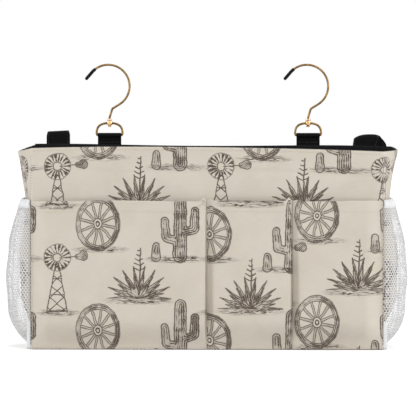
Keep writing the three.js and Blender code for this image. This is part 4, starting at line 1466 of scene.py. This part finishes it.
def windmill(tree, place, shade):
    """A farm windmill: a braced tower, a fan of blades and a tail."""
    split = put(tree, "SeparateXYZ", place)
    y = split.node.outputs[1]
    half = put(tree, "Math", split, operation="ABSOLUTE")
    leg = stroke(tree, put(tree, "CombineXYZ", half, y), (1.2, 12), (8.5, -27), 0.9)
    slope = put(tree, "Math", y, -0.187, 3.45, operation="MULTIPLY_ADD")
    beside = put(tree, "Math", half, slope, operation="SUBTRACT")
    tower = chain(tree, "MULTIPLY", inside(tree, beside, 0.2),
                  between(tree, y, (-27.0, -26.6), (11.6, 12.0)))
    lean = put(tree, "Math", half, 0.9, y, operation="MULTIPLY_ADD")
    other = put(tree, "Math", half, -0.9, y, operation="MULTIPLY_ADD")
    braces = chain(tree, "MAXIMUM", stripes(tree, lean, 5.0, 0.12),
                   stripes(tree, other, 5.0, 0.12), stripes(tree, y, 6.5, 0.07))
    fan = put(tree, "VectorMath", place, (0, 17.5, 0), operation="SUBTRACT")
    radius, angle = polar(tree, fan)
    tenths = chain(tree, "MULTIPLY", angle, 10.0)
    blade_pitch = 1.745
    blades = chain(tree, "MULTIPLY", stripes(tree, tenths, blade_pitch, shade),
                   between(tree, radius, (3.6, 4.2), (10.4, 11.0)))
    tail = stroke(tree, place, (2, 17.5), (17, 18.5), 0.8)
    vane = stroke(tree, place, (17, 18.5), (21, 19), 4.2, 7.5)
    hatch = stripes(tree, lean, 0.8, shade)
    return chain(
        tree, "MAXIMUM", inside(tree, leg), chain(tree, "MULTIPLY", tower, braces), blades,
        inked(tree, radius, 0.8, 3.4), inked(tree, radius, 0.55, 10.9), inside(tree, tail),
        washed(tree, vane, shade), inked(tree, vane, 0.8),
        chain(tree, "MULTIPLY", inside(tree, vane), hatch))


def agave(tree, place, shade):
    """A rosette of pointed leaves round a flower stalk."""
    base = put(tree, "VectorMath", place, (0, -19, 0), operation="SUBTRACT")
    radius, angle = polar(tree, base)
    above = put(tree, "MapRange", angle, -0.12, -0.04, 0.0, 1.0)
    leaves = []
    for count, reach, start in ((9, 27.0, 0.0), (8, 21.0, 0.19)):
        shifted = put(tree, "Math", angle, start, operation="ADD")
        off = put(tree, "Math", shifted, math.pi / count / 2, operation="PINGPONG")
        off = chain(tree, "MULTIPLY", off, radius)
        width = put(tree, "MapRange", radius, 3.0, reach, 2.7, 0.0)
        leaf = put(tree, "Math", off, width, operation="SUBTRACT")
        fibres = chain(tree, "MULTIPLY", inside(tree, leaf), stripes(tree, off, 0.8, shade))
        drawn = chain(tree, "MAXIMUM", inked(tree, leaf, 0.8, soft=0.25), fibres,
                      washed(tree, leaf, shade))
        ended = put(tree, "MapRange", radius, reach + 0.3, reach - 0.3, 0.0, 1.0)
        leaves.append(chain(tree, "MULTIPLY", drawn, ended, above))
    stalk = stroke(tree, place, (0, -16), (1.5, 22), 1.6, 0.9)
    split = put(tree, "SeparateXYZ", place)
    y = split.node.outputs[1]
    side = put(tree, "Math", split, operation="ABSOLUTE")
    twig = put(tree, "Math", side, -0.5, y, operation="MULTIPLY_ADD")
    bough = put(tree, "MapRange", y, 23.0, 2.0, 0.5, 6.5)
    crown = chain(tree, "MULTIPLY",
                  inside(tree, put(tree, "Math", side, bough, operation="SUBTRACT")),
                  between(tree, y, (3.5, 4.0), (22.0, 22.3)))
    twigs = chain(tree, "MULTIPLY", stripes(tree, twig, 2.0, 0.3), crown)
    return chain(tree, "MAXIMUM", *leaves, inside(tree, stalk), twigs)


def ground_strokes(tree, place, tiles):
    """Quick level strokes of the ground under each motif."""
    near = []
    for motif_place, middle, wide in tiles:
        away = put(tree, "VectorMath", motif_place, (*middle, 0), operation="SUBTRACT")
        away = put(tree, "VectorMath", away, (1 / wide, 1 / 3.2, 0), operation="MULTIPLY")
        near.append(put(tree, "VectorMath", away, out=1, operation="LENGTH"))
    mask = put(tree, "MapRange", chain(tree, "MINIMUM", *near), 1.1, 0.5, 0.0, 1.0)
    flat = put(tree, "Mapping", place, named={"Scale": (0.07, 0.9, 1)})
    level = put(tree, "TexNoise", flat, named={"Scale": 1.0, "Detail": 3.0})
    line = put(tree, "Math", level, 0.5, operation="SUBTRACT")
    line = put(tree, "Math", line, operation="ABSOLUTE")
    line = put(tree, "MapRange", line, 0.07, 0.02, 0.0, 1.3)
    return chain(tree, "MULTIPLY", line, mask)


def print_ink(tree, place):
    """The amount of sepia ink at a place on the cloth, in millimetres."""
    wobble = put(tree, "TexNoise", place, named={"Scale": 0.12, "Detail": 2.0}, out=1)
    wobble = put(tree, "VectorMath", wobble, (0.5, 0.5, 0.5), operation="SUBTRACT")
    drawn = put(tree, "VectorMath", wobble, (2.6, 2.6, 0), place, operation="MULTIPLY_ADD")
    tone = put(tree, "TexNoise", place, named={"Scale": 0.11, "Detail": 3.0, "Roughness": 0.6})
    shade = put(tree, "MapRange", tone, 0.38, 0.62, 0.15, 0.95)

    cactus_at = tile(tree, drawn, (0, 0), 1.32)
    wheel_at = tile(tree, drawn, (86, 3), 1.24)
    mill_at = tile(tree, drawn, (43, 56), 1.28)
    agave_at = tile(tree, drawn, (129, 60), 1.28)
    ground = ground_strokes(tree, drawn, (
        (cactus_at, (-3, -26.5), 27), (wheel_at, (2, -22.5), 24), (mill_at, (0, -27.5), 20),
        (agave_at, (0, -21), 29)))
    ink = chain(
        tree, "MAXIMUM", saguaro(tree, cactus_at, shade), wagon_wheel(tree, wheel_at, shade),
        windmill(tree, mill_at, shade), agave(tree, agave_at, shade), ground)
    worn = put(tree, "TexNoise", place, named={"Scale": 0.9, "Detail": 2.0})
    worn = put(tree, "MapRange", worn, 0.3, 0.55, 0.7, 1.0)
    return chain(tree, "MULTIPLY", ink, worn)


def build():
    set_camera()
    lay_stage()
    light_the_room()
    canvas = finish_of("printed_polyester_canvas", printed_canvas)
    lining = finish_of("black_polyester_lining", black_lining)
    webbing = finish_of("black_polypropylene_webbing", black_webbing)
    yarn = finish_of("white_knitted_net", white_net)
    elastic = finish_of("white_woven_elastic", white_elastic)
    binding = finish_of("white_nylon_binding", white_binding)
    brass = finish_of("light_gold_plating", plated(0x94784C, 0x6A5132, 0.4))
    polished = finish_of("polished_gold_plating", plated(0xE0BC88, 0xB08A5C, 0.08))
    rosy = finish_of("rose_gold_plating", plated(0xDDB198, 0xB58A72, 0.15))
    vinyl = finish_of("black_dipped_vinyl", dipped_vinyl)
    board = finish_of("polypropylene_board", stiff_board)
    foam = finish_of("polyurethane_foam", cut_foam)
    pile = finish_of("black_hook_and_loop", tape_pile)
    beige_thread = finish_of("beige_polyester_thread", spun_thread(0xD0C8BA, 0xA59C8C))
    black_thread = finish_of("black_polyester_thread", spun_thread(0x1E1E22, 0x0A0A0C))
    white_thread = finish_of("white_polyester_thread", spun_thread(0xF0F0F2, 0xC4C4C8))
    grey_thread = finish_of("grey_polyester_thread", spun_thread(0x5A524A, 0x332D28))

    make_base(canvas, lining, foam)
    make_walls(canvas, lining)
    make_gussets(canvas, lining)
    make_pockets(canvas, beige_thread)
    make_hem_stitches(beige_thread, grey_thread)
    make_nets(yarn, elastic, binding, white_thread)
    make_tabs(webbing, black_thread)
    make_straps(webbing, pile, black_thread)
    make_hangers(brass, polished, rosy, vinyl)
    for name in ("back_board", "base_board"):
        for slot in cad[name].material_slots:
            slot.material = board
    bpy.context.scene.view_settings.view_transform = "Standard"


build()
